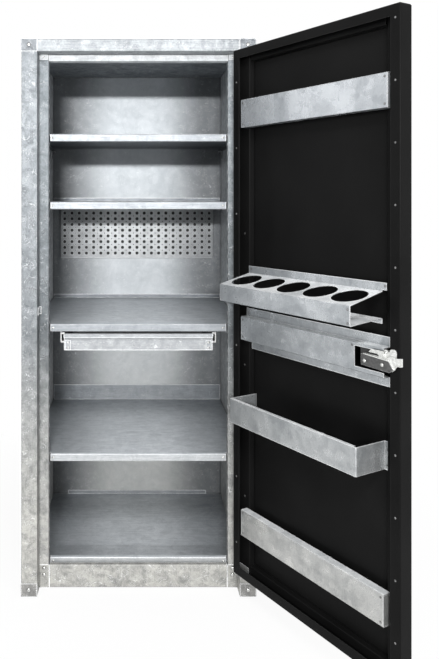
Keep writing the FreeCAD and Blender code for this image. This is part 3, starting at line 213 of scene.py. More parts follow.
def facing_share(tree: Tree, way: Vector, cosines: tuple[float, float] = FACING_COSINES) -> Socket:
    """Find surfaces by the direction that they face, such as level tops.

    Args:
        tree: The material's node tree.
        way: The unit direction to compare with.
        cosines: Cosine of the angle to it where the share is 0, and where it is 1.

    Returns:
        A socket with the share.
    """
    surface = add_node(tree, "ShaderNodeNewGeometry").outputs["Normal"]
    turn = add_node(tree, "ShaderNodeVectorMath", {0: surface}, operation="DOT_PRODUCT", in_1=way)
    return add_node(tree, "ShaderNodeMapRange", {"Value": turn.outputs["Value"]}, span=cosines).outputs[0]


class Grain(Enum):
    """Direction of the fine rolling marks on a sheet, as stretch factors on X, Y and Z."""

    ACROSS = (0.03, 1.0, 1.0)
    UPRIGHT = (1.0, 1.0, 0.03)


@dataclass(frozen=True)
class GalvanisedSheet:
    """Hot-dip galvanised steel sheet, skin-passed after dipping and then handled.

    The zinc gives grey clouds, a faint spangle of crystals and a fine speckle.
    Handling leaves white curled scratches. The folds carry a painted highlight
    and the seams painted shade. The zinc is painted cool high up and warm near
    the floor, a painted change of light with height.

    Where a metallic for level tops is given, level tops take a painted top
    light and that share of metal. With a share of side shade, the middle of a
    wall or shelf carries a painted pool of light, and the sides and the rear of
    a shelf carry painted shade. The stretch behind another panel is painted
    dark as shade.
    """

    name: str
    # high, middle and low tint the zinc by height, a painted change of light from top to bottom.
    high: str = "9A9FA3"
    middle: str = "808487"
    low: str = "AFAEA9"
    shade: str = "B4B6B8"
    # Colour of the scratches, and of the painted highlight on folds and cut edges.
    edge: str = "FAFBFC"
    # Colour of the painted shade in seams and behind another panel.
    painted_shade: str = "2C2E2F"
    # Colour of the painted light on level tops.
    top_light: str = "F2F4F5"
    # Colour of the painted shade toward the sides and the rear of a shelf.
    side_shade: str = "585B5E"
    metallic: float = 0.22
    top_metallic: float | None = None
    roughness: float = 0.60
    roughness_spread: float = 0.065
    relief: float = 0.10
    relief_mm: float = 0.5
    tint_reach: float = 1.5
    tint_stops: tuple[float, float, float] = (0.12, 0.45, 0.80)
    mottle_stops: tuple[float, float] = (0.36, 0.62)
    cloud_mm: float = 34.0
    cloud_detail: float = 6.0
    cloud_roughness: float = 0.68
    cloud_twist: float = 1.2
    spangle_mm: float = 16.0
    spangle_share: float = 0.16
    speckle_mm: float = 3.2
    speckle_share: float = 0.25
    streak_mm: float = 1.8
    streak_share: float = 0.12
    grain: Grain = Grain.UPRIGHT
    swirl_mm: float = 36.0
    swirl_twist: float = 2.2
    swirl_rings: float = 11.0
    swirl_line: tuple[float, float] = (0.02, 0.09)
    swirl_patch: tuple[float, float] = (0.45, 0.60)
    swirl_share: float = 0.50
    fold_mm: float = 2.8
    edge_share: float = 0.95
    # Reach and strength of the painted shade in seams.
    shade_reach_mm: float = 9.0
    shade_strength: float = 0.85
    # Strength of the painted shade at the sides and rear; the next two distances from the middle bound the
    # painted pool of light.
    side_shade_share: float = 0.0
    lit_middle_mm: float = 60.0
    shaded_side_mm: float = 240.0
    shelf_y: tuple[float, float] | None = None
    lip_fade_mm: tuple[float, float] = (2.0, 12.0)
    # Box of a panel in front of the sheet; the sheet behind it is painted dark as shade.
    shaded_box: tuple[Vector, Vector] | None = None
    shaded_box_fade_mm: tuple[float, float] = (8.0, 2.0)

    def height_light_tint(self, tree: Tree, place: Socket) -> Node:
        """Paint a change of light on the zinc by its height above the floor.

        Args:
            tree: The material's node tree.
            place: Object coordinates.

        Returns:
            A colour ramp node from the floor up to tint_reach metres.
        """
        height = add_node(tree, "ShaderNodeSeparateXYZ", {"Vector": place}).outputs["Z"]
        share = add_node(tree, "ShaderNodeMapRange", {"Value": height}, span=(0.0, self.tint_reach))
        tints = (self.low, self.middle, self.high)
        return add_node(tree, "ShaderNodeValToRGB", {"Fac": share.outputs[0]},
                        ramp=tuple(zip(self.tint_stops, tints)))

    def zinc_pattern(self, tree: Tree, place: Socket) -> Node:
        """Mix clouds, spangle, speckle and rolling streaks into one value.

        Args:
            tree: The material's node tree.
            place: Object coordinates.

        Returns:
            A node whose first output lies mostly within NOISE_SPAN.
        """
        cloud = add_node(tree, "ShaderNodeTexNoise", {"Vector": place}, in_Scale=noise_scale(self.cloud_mm),
                         in_Detail=self.cloud_detail, in_Roughness=self.cloud_roughness,
                         in_Distortion=self.cloud_twist)
        warp = add_node(tree, "ShaderNodeTexNoise", {"Vector": place},
                        in_Scale=noise_scale(self.spangle_mm / 2), in_Detail=FINE_DETAIL)
        pushed = add_node(tree, "ShaderNodeVectorMath", {0: warp.outputs["Color"]},
                          operation="MULTIPLY_ADD", in_1=(self.spangle_mm * MM,) * 3)
        tree.links.new(place, pushed.inputs[2])
        spangle = add_node(tree, "ShaderNodeTexVoronoi", {"Vector": pushed.outputs[0]},
                           in_Scale=noise_scale(self.spangle_mm))
        crystal = add_node(tree, "ShaderNodeSeparateColor", {"Color": spangle.outputs["Color"]})
        speckle = add_node(tree, "ShaderNodeTexNoise", {"Vector": place},
                           in_Scale=noise_scale(self.speckle_mm), in_Detail=FINE_DETAIL)
        stretched = add_node(tree, "ShaderNodeMapping", {"Vector": place}, in_Scale=self.grain.value)
        streak = add_node(tree, "ShaderNodeTexNoise", {"Vector": stretched.outputs[0]},
                          in_Scale=noise_scale(self.streak_mm), in_Detail=FINE_DETAIL)
        spangled = add_node(tree, "ShaderNodeMix", {"A": cloud.outputs[0], "B": crystal.outputs[0]},
                            in_Factor=self.spangle_share)
        speckled = add_node(tree, "ShaderNodeMix", {"A": spangled.outputs[0], "B": speckle.outputs[0]},
                            in_Factor=self.speckle_share)
        return add_node(tree, "ShaderNodeMix", {"A": speckled.outputs[0], "B": streak.outputs[0]},
                        in_Factor=self.streak_share)

    def swirl_lines(self, tree: Tree, place: Socket) -> Node:
        """Draw patches of thin curled scratches along the contours of a twisted noise.

        Args:
            tree: The material's node tree.
            place: Object coordinates.

        Returns:
            A node whose first output is highest on a scratch and 0 beside it.
        """
        curl = add_node(tree, "ShaderNodeTexNoise", {"Vector": place}, in_Scale=noise_scale(self.swirl_mm),
                        in_Detail=SMOOTH_DETAIL, in_Distortion=self.swirl_twist)
        rings = add_node(tree, "ShaderNodeMath", {0: curl.outputs[0]}, operation="MULTIPLY",
                         in_1=self.swirl_rings)
        phase = add_node(tree, "ShaderNodeMath", {0: rings.outputs[0]}, operation="FRACT")
        offset = add_node(tree, "ShaderNodeMath", {0: phase.outputs[0]}, operation="SUBTRACT", in_1=0.5)
        near = add_node(tree, "ShaderNodeMath", {0: offset.outputs[0]}, operation="ABSOLUTE")
        line = add_node(tree, "ShaderNodeMapRange", {"Value": near.outputs[0]}, span=self.swirl_line,
                        onto=(1.0, 0.0))
        patch = add_node(tree, "ShaderNodeTexNoise", {"Vector": place},
                         in_Scale=noise_scale(self.swirl_mm / 2), in_Detail=PATCH_DETAIL)
        worn = add_node(tree, "ShaderNodeMapRange", {"Value": patch.outputs[0]}, span=self.swirl_patch,
                        onto=(0.0, self.swirl_share))
        return add_node(tree, "ShaderNodeMath", {0: line.outputs[0], 1: worn.outputs[0]},
                        operation="MULTIPLY")

    def behind_panel_shade(self, tree: Tree, place: Socket) -> Socket:
        """Find the stretch of sheet that another panel covers, seen from the front, where the sheet is
        painted dark as shade.

        Args:
            tree: The material's node tree.
            place: Object coordinates.

        Returns:
            A socket that is 1 behind the panel and 0 elsewhere.
        """
        apart = add_node(tree, "ShaderNodeSeparateXYZ", {"Vector": place})
        low, high = self.shaded_box
        share = facing_share(tree, FRONTWARD)
        for axis, name in ((0, "X"), (2, "Z")):
            middle = (low[axis] + high[axis]) / 2
            half = (high[axis] - low[axis]) / 2
            offset = add_node(tree, "ShaderNodeMath", {0: apart.outputs[name]}, operation="SUBTRACT",
                              in_1=middle)
            off = add_node(tree, "ShaderNodeMath", {0: offset.outputs[0]}, operation="ABSOLUTE")
            fade = [half - inside_mm * MM for inside_mm in self.shaded_box_fade_mm]
            inside = add_node(tree, "ShaderNodeMapRange", {"Value": off.outputs[0]}, span=fade,
                              onto=(1.0, 0.0))
            share = add_node(tree, "ShaderNodeMath", {0: share, 1: inside.outputs[0]},
                             operation="MULTIPLY").outputs[0]
        return share

    def side_shade_level(self, tree: Tree, place: Socket) -> Socket:
        """Find where the zinc is painted in shade.

        The middle of a wall or shelf carries a painted pool of light. Toward the
        side walls, and toward the rear of a shelf, the zinc carries painted
        shade. A shelf's lip and the outside of a wall have none.

        Args:
            tree: The material's node tree.
            place: Object coordinates.

        Returns:
            A socket with the painted shade share.
        """
        least = 1.0 - self.side_shade_share
        apart = add_node(tree, "ShaderNodeSeparateXYZ", {"Vector": place})
        aside = add_node(tree, "ShaderNodeMath", {0: apart.outputs["X"]}, operation="ABSOLUTE")
        highlighted = add_node(tree, "ShaderNodeMapRange", {"Value": aside.outputs[0]}, onto=(1.0, least),
                          interpolation_type="SMOOTHSTEP",
                          span=(self.lit_middle_mm * MM, self.shaded_side_mm * MM))
        if self.shelf_y:
            reached = add_node(tree, "ShaderNodeMapRange", {"Value": apart.outputs["Y"]},
                               span=self.shelf_y, onto=(1.0, least))
            highlighted = add_node(tree, "ShaderNodeMath", {0: highlighted.outputs[0], 1: reached.outputs[0]},
                              operation="MULTIPLY")
        unlit_share = add_node(tree, "ShaderNodeMath", {1: highlighted.outputs[0]}, operation="SUBTRACT", in_0=1.0)
        if self.shelf_y:
            fade = [self.shelf_y[0] + behind_mm * MM for behind_mm in self.lip_fade_mm]
            inside = add_node(tree, "ShaderNodeMapRange", {"Value": apart.outputs["Y"]},
                              span=fade).outputs[0]
        else:
            inside = facing_share(tree, FRONTWARD)
        return add_node(tree, "ShaderNodeMath", {0: unlit_share.outputs[0], 1: inside},
                        operation="MULTIPLY").outputs[0]

    def zinc_colour(self, tree: Tree, place: Socket, pattern: Socket, shader: Node) -> Socket:
        """Colour the zinc before it is scratched, and set how metallic it is.

        Args:
            tree: The material's node tree.
            place: Object coordinates.
            pattern: The zinc's pattern value.
            shader: The Principled shader.

        Returns:
            The colour's socket.
        """
        # Painted change of light with height, cool high up and warm near the floor.
        tint = self.height_light_tint(tree, place).outputs[0]
        mottle = add_node(tree, "ShaderNodeValToRGB", {"Fac": pattern},
                          ramp=tuple(zip(self.mottle_stops, (self.shade, "FFFFFF"))))
        if self.top_metallic is None:
            shader.inputs["Metallic"].default_value = self.metallic
        else:
            # Painted light on level tops.
            level = facing_share(tree, UPWARD)
            tint = add_node(tree, "ShaderNodeMix", {0: level, 6: tint}, data_type="RGBA",
                            in_7=linear_rgba(self.top_light)).outputs[2]
            metal = add_node(tree, "ShaderNodeMapRange", {"Value": level},
                             onto=(self.metallic, self.top_metallic))
            tree.links.new(metal.outputs[0], shader.inputs["Metallic"])
        # Painted pool of light in the middle and painted shade toward the sides and rear.
        if self.side_shade_share:
            tint = add_node(tree, "ShaderNodeMix", {0: self.side_shade_level(tree, place), 6: tint},
                            data_type="RGBA", in_7=linear_rgba(self.side_shade)).outputs[2]
        return add_node(tree, "ShaderNodeMix", {6: tint, 7: mottle.outputs[0]}, data_type="RGBA",
                        blend_type="MULTIPLY", in_0=1.0).outputs[2]

    def build(self) -> bpy.types.Material:
        """Build the sheet's node material.

        Returns:
            The finished material.
        """
        material, shader = blank_material(self.name)
        tree = material.node_tree
        place = object_place(tree)
        pattern = self.zinc_pattern(tree, place).outputs[0]
        zinc = self.zinc_colour(tree, place, pattern, shader)
        scratches = self.swirl_lines(tree, place)
        scratched = add_node(tree, "ShaderNodeMix", {0: scratches.outputs[0], 6: zinc}, data_type="RGBA",
                             in_7=linear_rgba(self.edge))
        # Painted highlight on folds and cut edges.
        highlight_share = add_node(tree, "ShaderNodeMath", {0: fold_share(tree, self.fold_mm)},
                       operation="MULTIPLY", in_1=self.edge_share)
        highlighted = add_node(tree, "ShaderNodeMix", {0: highlight_share.outputs[0], 6: scratched.outputs[2]},
                          data_type="RGBA", in_7=linear_rgba(self.edge))
        # Painted shade in corners and seams, by how closed in each point is.
        painted_shade = add_node(tree, "ShaderNodeMath", {0: crevice_shade(tree, self.shade_reach_mm)},
                        operation="MULTIPLY", in_1=self.shade_strength)
        # Painted shade: the sheet behind the tool panel is painted dark so that the peg holes look dark.
        if self.shaded_box:
            painted_shade = add_node(tree, "ShaderNodeMath",
                            {0: painted_shade.outputs[0], 1: self.behind_panel_shade(tree, place)},
                            operation="MAXIMUM")
        shaded_colour = add_node(tree, "ShaderNodeMix", {0: painted_shade.outputs[0], 6: highlighted.outputs[2]},
                          data_type="RGBA", in_7=linear_rgba(self.painted_shade))
        tree.links.new(shaded_colour.outputs[2], shader.inputs["Base Color"])
        rough = add_node(tree, "ShaderNodeMapRange", {"Value": pattern}, span=NOISE_SPAN,
                         onto=(self.roughness + self.roughness_spread,
                               self.roughness - self.roughness_spread))
        tree.links.new(rough.outputs[0], shader.inputs["Roughness"])
        bump = add_node(tree, "ShaderNodeBump", {"Height": pattern}, in_Strength=self.relief,
                        in_Distance=self.relief_mm * MM)
        tree.links.new(bump.outputs[0], shader.inputs["Normal"])
        return material


@dataclass(frozen=True)
class PowderCoat:
    """Satin black powder coat on sheet steel, sprayed and baked.

    The baked film gives a fine orange peel about 2 mm across and a soft, even
    black. Its folds carry a painted highlight in a slightly lighter black.
    """

    name: str
    colour: str = "0E0E0E"
    haze: str = "131313"
    # Colour of the painted highlight on the folds.
    edge: str = "343434"
    haze_mm: float = 160.0
    haze_stops: tuple[float, float] = (0.35, 0.70)
    fold_mm: float = 1.8
    edge_share: float = 0.5
    roughness: float = 0.36
    roughness_drop: float = 0.04
    roughness_rise: float = 0.05
    specular: float = 0.05
    peel_mm: float = 2.2
    peel_detail: float = 1.5
    relief: float = 0.10
    relief_mm: float = 0.3

    def build(self) -> bpy.types.Material:
        """Build the coat's node material.

        Returns:
            The finished material.
        """
        material, shader = blank_material(self.name)
        tree = material.node_tree
        place = object_place(tree)
        haze = add_node(tree, "ShaderNodeTexNoise", {"Vector": place}, in_Scale=noise_scale(self.haze_mm),
                        in_Detail=PATCH_DETAIL)
        peel = add_node(tree, "ShaderNodeTexNoise", {"Vector": place}, in_Scale=noise_scale(self.peel_mm),
                        in_Detail=self.peel_detail)
        tone = add_node(tree, "ShaderNodeValToRGB", {"Fac": haze.outputs[0]},
                        ramp=tuple(zip(self.haze_stops, (self.colour, self.haze))))
        # Painted highlight on the folds.
        highlight_share = add_node(tree, "ShaderNodeMath", {0: fold_share(tree, self.fold_mm)},
                       operation="MULTIPLY", in_1=self.edge_share)
        highlighted = add_node(tree, "ShaderNodeMix", {0: highlight_share.outputs[0], 6: tone.outputs[0]},
                          data_type="RGBA", in_7=linear_rgba(self.edge))
        tree.links.new(highlighted.outputs[2], shader.inputs["Base Color"])
        rough = add_node(tree, "ShaderNodeMapRange", {"Value": haze.outputs[0]}, span=NOISE_SPAN,
                         onto=(self.roughness - self.roughness_drop,
                               self.roughness + self.roughness_rise))
        tree.links.new(rough.outputs[0], shader.inputs["Roughness"])
        bump = add_node(tree, "ShaderNodeBump", {"Height": peel.outputs[0]}, in_Strength=self.relief,
                        in_Distance=self.relief_mm * MM)
        tree.links.new(bump.outputs[0], shader.inputs["Normal"])
        shader.inputs["Specular IOR Level"].default_value = self.specular
        return material


@dataclass(frozen=True)
class PlatedHardware:
    """Zinc or chrome plated small steel parts, pressed and tumbled.

    Tumbling leaves a fine mottle a few millimetres across and a soft shine,
    and the edges carry a painted highlight. Where facing is given, the steep
    rim of a head carries painted shade and its crown stays bright.
    """

    name: str
    bright: str = "E2E3E1"
    dull: str = "BDBDB9"
    # Colour of the painted highlight on folds and edges.
    edge: str = "F6F6F4"
    # Colour of the painted shade on a head's steep rim.
    rim: str = "505050"
    facing: Vector | None = None
    metallic: float = 0.8
    roughness: float = 0.26
    roughness_drop: float = 0.05
    roughness_rise: float = 0.06
    mottle_mm: float = 5.0
    mottle_stops: tuple[float, float] = (0.35, 0.65)
    fold_mm: float = 0.9

    def build(self) -> bpy.types.Material:
        """Build the plated finish.

        Returns:
            The finished material.
        """
        material, shader = blank_material(self.name)
        tree = material.node_tree
        place = object_place(tree)
        mottle = add_node(tree, "ShaderNodeTexNoise", {"Vector": place},
                          in_Scale=noise_scale(self.mottle_mm), in_Detail=PATCH_DETAIL)
        tone = add_node(tree, "ShaderNodeValToRGB", {"Fac": mottle.outputs[0]},
                        ramp=tuple(zip(self.mottle_stops, (self.dull, self.bright))))
        # Painted highlight on folds and edges.
        highlighted = add_node(tree, "ShaderNodeMix", {0: fold_share(tree, self.fold_mm), 6: tone.outputs[0]},
                          data_type="RGBA", in_7=linear_rgba(self.edge))
        if self.facing:
            # Painted shade on the steep rim of a head.
            rim_shade_share = facing_share(tree, self.facing, RIM_COSINES)
            highlighted = add_node(tree, "ShaderNodeMix", {0: rim_shade_share, 6: highlighted.outputs[2]},
                              data_type="RGBA", in_7=linear_rgba(self.rim))
        tree.links.new(highlighted.outputs[2], shader.inputs["Base Color"])
        rough = add_node(tree, "ShaderNodeMapRange", {"Value": mottle.outputs[0]}, span=NOISE_SPAN,
                         onto=(self.roughness + self.roughness_rise,
                               self.roughness - self.roughness_drop))
        tree.links.new(rough.outputs[0], shader.inputs["Roughness"])
        shader.inputs["Metallic"].default_value = self.metallic
        return material


@dataclass(frozen=True)
class MouldedNylon:
    """Glass-filled nylon, injection moulded in a spark-eroded tool.

    The eroded tool leaves a matt grain under a millimetre across.
    """

    name: str
    colour: str = "111111"
    grain_tone: str = "1C1C1C"
    grain_mm: float = 0.9
    roughness: float = 0.5
    specular: float = 0.3
    relief: float = 0.15
    relief_mm: float = 0.2

    def build(self) -> bpy.types.Material:
        """Build the moulded finish.

        Returns:
            The finished material.
        """
        material, shader = blank_material(self.name)
        tree = material.node_tree
        place = object_place(tree)
        grain = add_node(tree, "ShaderNodeTexNoise", {"Vector": place},
                         in_Scale=noise_scale(self.grain_mm), in_Detail=FINE_DETAIL)
        tone = add_node(tree, "ShaderNodeValToRGB", {"Fac": grain.outputs[0]},
                        ramp=tuple(zip(NOISE_SPAN, (self.colour, self.grain_tone))))
        tree.links.new(tone.outputs[0], shader.inputs["Base Color"])
        bump = add_node(tree, "ShaderNodeBump", {"Height": grain.outputs[0]}, in_Strength=self.relief,
                        in_Distance=self.relief_mm * MM)
        tree.links.new(bump.outputs[0], shader.inputs["Normal"])
        shader.inputs["Roughness"].default_value = self.roughness
        shader.inputs["Specular IOR Level"].default_value = self.specular
        return material


Finish = GalvanisedSheet | PowderCoat | PlatedHardware | MouldedNylon

# Wide rolled sheet: large soft clouds.
OUTER_SHEET = GalvanisedSheet("galvanised_outer_sheet_rolled", cloud_mm=60.0)
# Folded posts and caps: small clouds and painted highlights on the folds.
FRAME_SHEET = GalvanisedSheet("galvanised_frame_sheet_folded")
CAP_SHEET = GalvanisedSheet("galvanised_cap_pressed", high="8F9397", low="949390")
INNER_SHEET = GalvanisedSheet("galvanised_inner_post_folded", high="92989C", middle="6B7073",
                              low="B2B1AD")
# Rails: pale, with rolling marks along their length.
TOP_RAIL_SHEET = GalvanisedSheet("galvanised_top_rail_folded", high="B0B4B7", grain=Grain.ACROSS,
                                 streak_share=0.25)
RAIL_SHEET = GalvanisedSheet("galvanised_rail_folded", high="E0E3E5", middle="DCDFE1", shade="CACBCC",
                             grain=Grain.ACROSS, streak_share=0.3)
# Back wall: smooth, painted paler than the frame as less light reaches it, with a painted pool of light in
# the middle, painted shade at the sides and painted dark shade behind the tool panel.
BACK_SHEET = GalvanisedSheet("galvanised_back_sheet_rolled", high="C4C9CD", middle="C2C6C9",
                             low="C0C1BF", shade="ECEEEF", painted_shade="161718", metallic=0.3, roughness=0.46,
                             roughness_spread=0.02, relief=0.02, cloud_mm=60.0, cloud_detail=3.0,
                             swirl_share=0.25, side_shade_share=0.9, shaded_box=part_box("tool_panel"))
# Side liners: painted pale as little light reaches them, a little glossy, with painted light on their level
# tops.
LINER_SHEET = GalvanisedSheet("galvanised_liner_rolled", high="F0F2F3", middle="EAECED", low="D4D4D2",
                              metallic=0.35, top_metallic=0.22, roughness=0.45)
# Shelves: streaked across, with painted light on the level tops and in the middle, and painted shade toward
# the sides and rear.
SHELF_SHEET = GalvanisedSheet("galvanised_shelf_folded", high="93979B", middle="979B9F", low="C8CACB",
                              shade="D2D4D6", top_light="F4F8FC", side_shade="666C72", metallic=0.4,
                              top_metallic=0.3, roughness=0.42, spangle_mm=22.0,
                              grain=Grain.ACROSS, streak_share=0.4, swirl_share=0.2, side_shade_share=0.55,
                              shelf_y=(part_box("shelf_4")[0].y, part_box("shelf_4")[1].y))
# Door trays: glossy, with very large soft clouds and painted light on their level tops.
TRAY_SHEET = GalvanisedSheet("galvanised_tray_folded", high="BABEC2", middle="B6BABD", low="C4C4C1",
                             shade="C6C8CA", metallic=0.7, top_metallic=0.15, roughness=0.28,
                             roughness_spread=0.02, relief=0.03, cloud_mm=110.0, cloud_detail=2.0,
                             swirl_share=0.18)
# Punched panel: even and unscratched, so that the holes stand out, with a painted pool of light in the
# middle and painted shade at the sides.
PANEL_SHEET = GalvanisedSheet("galvanised_tool_panel_punched", high="B0B3B5", middle="B0B3B5",
                              shade="DEDEDD", metallic=0.35, roughness=0.42, swirl_share=0.0,
                              edge_share=0.3, side_shade_share=0.7)
# Drawer: streaked across, with shine and painted light on its level tops.
DRAWER_SHEET = GalvanisedSheet("galvanised_drawer_folded", high="A9ACAF", middle="A2A5A8",
                               shade="D8D9DA", metallic=0.25, top_metallic=0.8,
                               grain=Grain.ACROSS, streak_share=0.25)
# Door: soft even black.
BLACK_COAT = PowderCoat("powder_coat_satin_black")
# Cold-formed heads: plain bright rivets and pins, and screws with painted shade on their rim.
ZINC_HEADS = PlatedHardware("zinc_plated_heads_cold_formed")
FRONT_HEADS = PlatedHardware("zinc_plated_pan_heads_cold_formed", rim="3E3E3E", facing=FRONTWARD)
DARK_HEADS = PlatedHardware("blackened_pan_heads_cold_formed", bright="9A9A9A", dull="6C6C6C",
                            edge="8A8A8A", rim="1A1A1A", facing=DOOR_INWARD, metallic=0.6,
                            roughness=0.35)
# Blanked lever and rolled slides: softer and greyer than the heads.
ZINC_LATCH = PlatedHardware("zinc_plated_latch_blanked", bright="E4E5E3", dull="C9CAC7",
                            roughness=0.28)
ZINC_SLIDE = PlatedHardware("zinc_plated_slide_rolled", bright="C4C6C7", dull="9A9C9D", roughness=0.32)
# Phosphated cover and case: dark grey, with painted highlights on the edges.
COVER_STEEL = PlatedHardware("phosphated_steel_cover_blanked", bright="585858", dull="484848",
                             edge="C9C9C9", metallic=0.5, roughness=0.42)
CASE_STEEL = PlatedHardware("phosphated_steel_case_pressed", bright="3C3C3C", dull="2C2C2C",
                            edge="6E6E6E", metallic=0.5, roughness=0.45)
# Turned and chromed cylinder: a clear mirror shine.
LOCK_CHROME = PlatedHardware("chrome_plated_lock_turned", bright="E6E6E6", dull="D2D2D2",
                             metallic=1.0, roughness=0.12)
# Moulded grip: matt black with a fine grain.
BLACK_NYLON = MouldedNylon("moulded_nylon_black")


@dataclass
class Dresser:
    """Gives carried-over nodes their finishes and keeps one material per finish."""

    made: dict[str, bpy.types.Material] = field(default_factory=dict)

    def material(self, finish: Finish) -> bpy.types.Material:
        """Return the finish's material, building it the first time."""
        if finish.name not in self.made:
            self.made[finish.name] = finish.build()
        return self.made[finish.name]

    def dress(self, nodes: tuple[str, ...], finish: Finish) -> None:
        """Put a finish on nodes.

        Args:
            nodes: Names of the carried-over nodes.
            finish: The finish to build and assign.
        """
        material = self.material(finish)
        for node in nodes:
            for slot in frame["nodes"][node].material_slots:
                slot.material = material
        LOG.info("dressed %s in %s", ", ".join(nodes), finish.name)

    def dress_piece(self, piece: bpy.types.Object, finish: Finish) -> None:
        """Put a finish all over a new piece in place of any that it has."""
        piece.data.materials.clear()
        piece.data.materials.append(self.material(finish))


def open_copy(node: str) -> bpy.types.Object:
    """Copy a carried-over node and leave the copy in edit mode, merged and all selected.

    Args:
        node: The node's name.

    Returns:
        The copy, which has its own mesh.
    """
    bpy.ops.object.select_all(action="DESELECT")
    piece = frame["nodes"][node].copy()
    piece.data = piece.data.copy()
    bpy.context.scene.collection.objects.link(piece)
    piece.select_set(True)
    bpy.context.view_layer.objects.active = piece
    bpy.ops.object.mode_set(mode="EDIT")
    bpy.ops.mesh.select_all(action="SELECT")
    bpy.ops.mesh.remove_doubles(threshold=MERGE_MM * MM)
    return piece


def put_in_place_of(piece: bpy.types.Object, node: str, body: str) -> None:
    """Let a new piece stand for a carried-over node.

    Args:
        piece: The new piece.
        node: The node that it stands for.
        body: The body that it rides on.
    """
    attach(piece, body)
    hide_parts(node)


@dataclass(frozen=True)
class ScrewHeads:
    """Pan heads with a cross recess that stand for a node of plain heads.

    All heads of the node are alike and face one way, so one head is modelled
    and the others are copies of it, each where its plain head sits. Shares are
    of the head's radius or rise.
    """

    node: str
    body: str
    slot: str
    facing: Vector
    finish: PlatedHardware
    sides: int = 28
    wall_share: float = 0.3
    crown_steps: tuple[tuple[float, float], ...] = ((0.08, 0.24), (0.16, 0.22), (0.22, 0.16), (0.24, 0.08))
    recess_length_share: float = 1.1
    recess_width_share: float = 0.16
    recess_tool_share: float = 1.1
    top_cosine: float = 0.9
    smooth_degrees: float = 35.0

    def plain_heads(self) -> list[list[Vector]]:
        """Split the node into its separate heads.

        Returns:
            The vertex places of each head.
        """
        open_copy(self.node)
        bpy.ops.mesh.separate(type="LOOSE")
        bpy.ops.object.mode_set(mode="OBJECT")
        heads = list(bpy.context.selected_objects)
        places = [[vertex.co.copy() for vertex in head.data.vertices] for head in heads]
        for head in heads:
            bpy.data.objects.remove(head)
        return places

    def raise_crown(self, head: bpy.types.Object, radius: float, rise: float) -> None:
        """Dome the top of a head by insetting its face step by step.

        Args:
            head: The head, so far a low cylinder.
            radius: Radius of the head in metres.
            rise: Height of the head in metres.
        """
        bpy.ops.object.mode_set(mode="EDIT")
        bpy.ops.mesh.select_all(action="DESELECT")
        bpy.ops.object.mode_set(mode="OBJECT")
        for face in head.data.polygons:
            face.select = face.normal.z > self.top_cosine
        bpy.ops.object.mode_set(mode="EDIT")
        for inward, upward in self.crown_steps:
            bpy.ops.mesh.inset(thickness=inward * radius, depth=upward * rise)
        bpy.ops.object.mode_set(mode="OBJECT")

    def cut_recess(self, head: bpy.types.Object, radius: float, rise: float) -> None:
        """Cut the cross recess into a head's crown.

        Args:
            head: The domed head.
            radius: Radius of the head in metres.
            rise: Height of the head in metres.
        """
        arm = (self.recess_length_share, self.recess_width_share)
        cutters = []
        for length, width in (arm, arm[::-1]):
            bpy.ops.mesh.primitive_cube_add(size=1.0, location=(0, 0, rise))
            cutter = bpy.context.object
            cutter.scale = (length * radius, width * radius, self.recess_tool_share * rise)
            bpy.ops.object.transform_apply(location=True, rotation=False, scale=True)
            cutters.append(cutter)
        for cutter in cutters:
            bpy.ops.object.select_all(action="DESELECT")
            head.select_set(True)
            bpy.context.view_layer.objects.active = head
            bpy.ops.object.modifier_add(type="BOOLEAN")
            cut = head.modifiers[-1]
            cut.object = cutter
            cut.operation = "DIFFERENCE"
            cut.solver = "EXACT"
            bpy.ops.object.modifier_apply(modifier=cut.name)
            bpy.data.objects.remove(cutter)

    def model_head(self, radius: float, rise: float) -> bpy.types.Object:
        """Model one head on the origin, facing up.

        Args:
            radius: Radius of the head in metres.
            rise: Height of the head in metres.

        Returns:
            The head.
        """
        wall = self.wall_share * rise
        bpy.ops.object.select_all(action="DESELECT")
        bpy.ops.mesh.primitive_cylinder_add(vertices=self.sides, radius=radius, depth=wall,
                                            location=(0, 0, wall / 2))
        head = bpy.context.object
        self.raise_crown(head, radius, rise)
        self.cut_recess(head, radius, rise)
        bpy.ops.object.shade_smooth_by_angle(angle=math.radians(self.smooth_degrees))
        return head

    def build(self, dresser: Dresser) -> None:
        """Copy the head to every place and dress it.

        Args:
            dresser: Gives the finishes.
        """
        side = UPWARD.cross(self.facing).normalized()
        axes = (side, UPWARD, self.facing)
        turn = Matrix(axes).transposed().to_4x4()
        spans = []
        for places in self.plain_heads():
            along = [[place.dot(axis) for place in places] for axis in axes]
            spans.append([(min(values), max(values)) for values in along])
        _, upright, outward = spans[0]
        model = self.model_head((upright[1] - upright[0]) / 2, outward[1] - outward[0])
        for number, (across, upright, outward) in enumerate(spans, start=1):
            centre = side * sum(across) / 2 + UPWARD * sum(upright) / 2 + self.facing * outward[0]
            head = model.copy()
            head.data = model.data.copy()
            bpy.context.scene.collection.objects.link(head)
            head.data.transform(Matrix.Translation(centre) @ turn)
            head.name = f"{self.node}_head_{number:02d}"
            dresser.dress_piece(head, self.finish)
            put_in_place_of(head, self.node, self.body)
        bpy.data.objects.remove(model)
        LOG.info("%d heads stand for %s", len(spans), self.node)


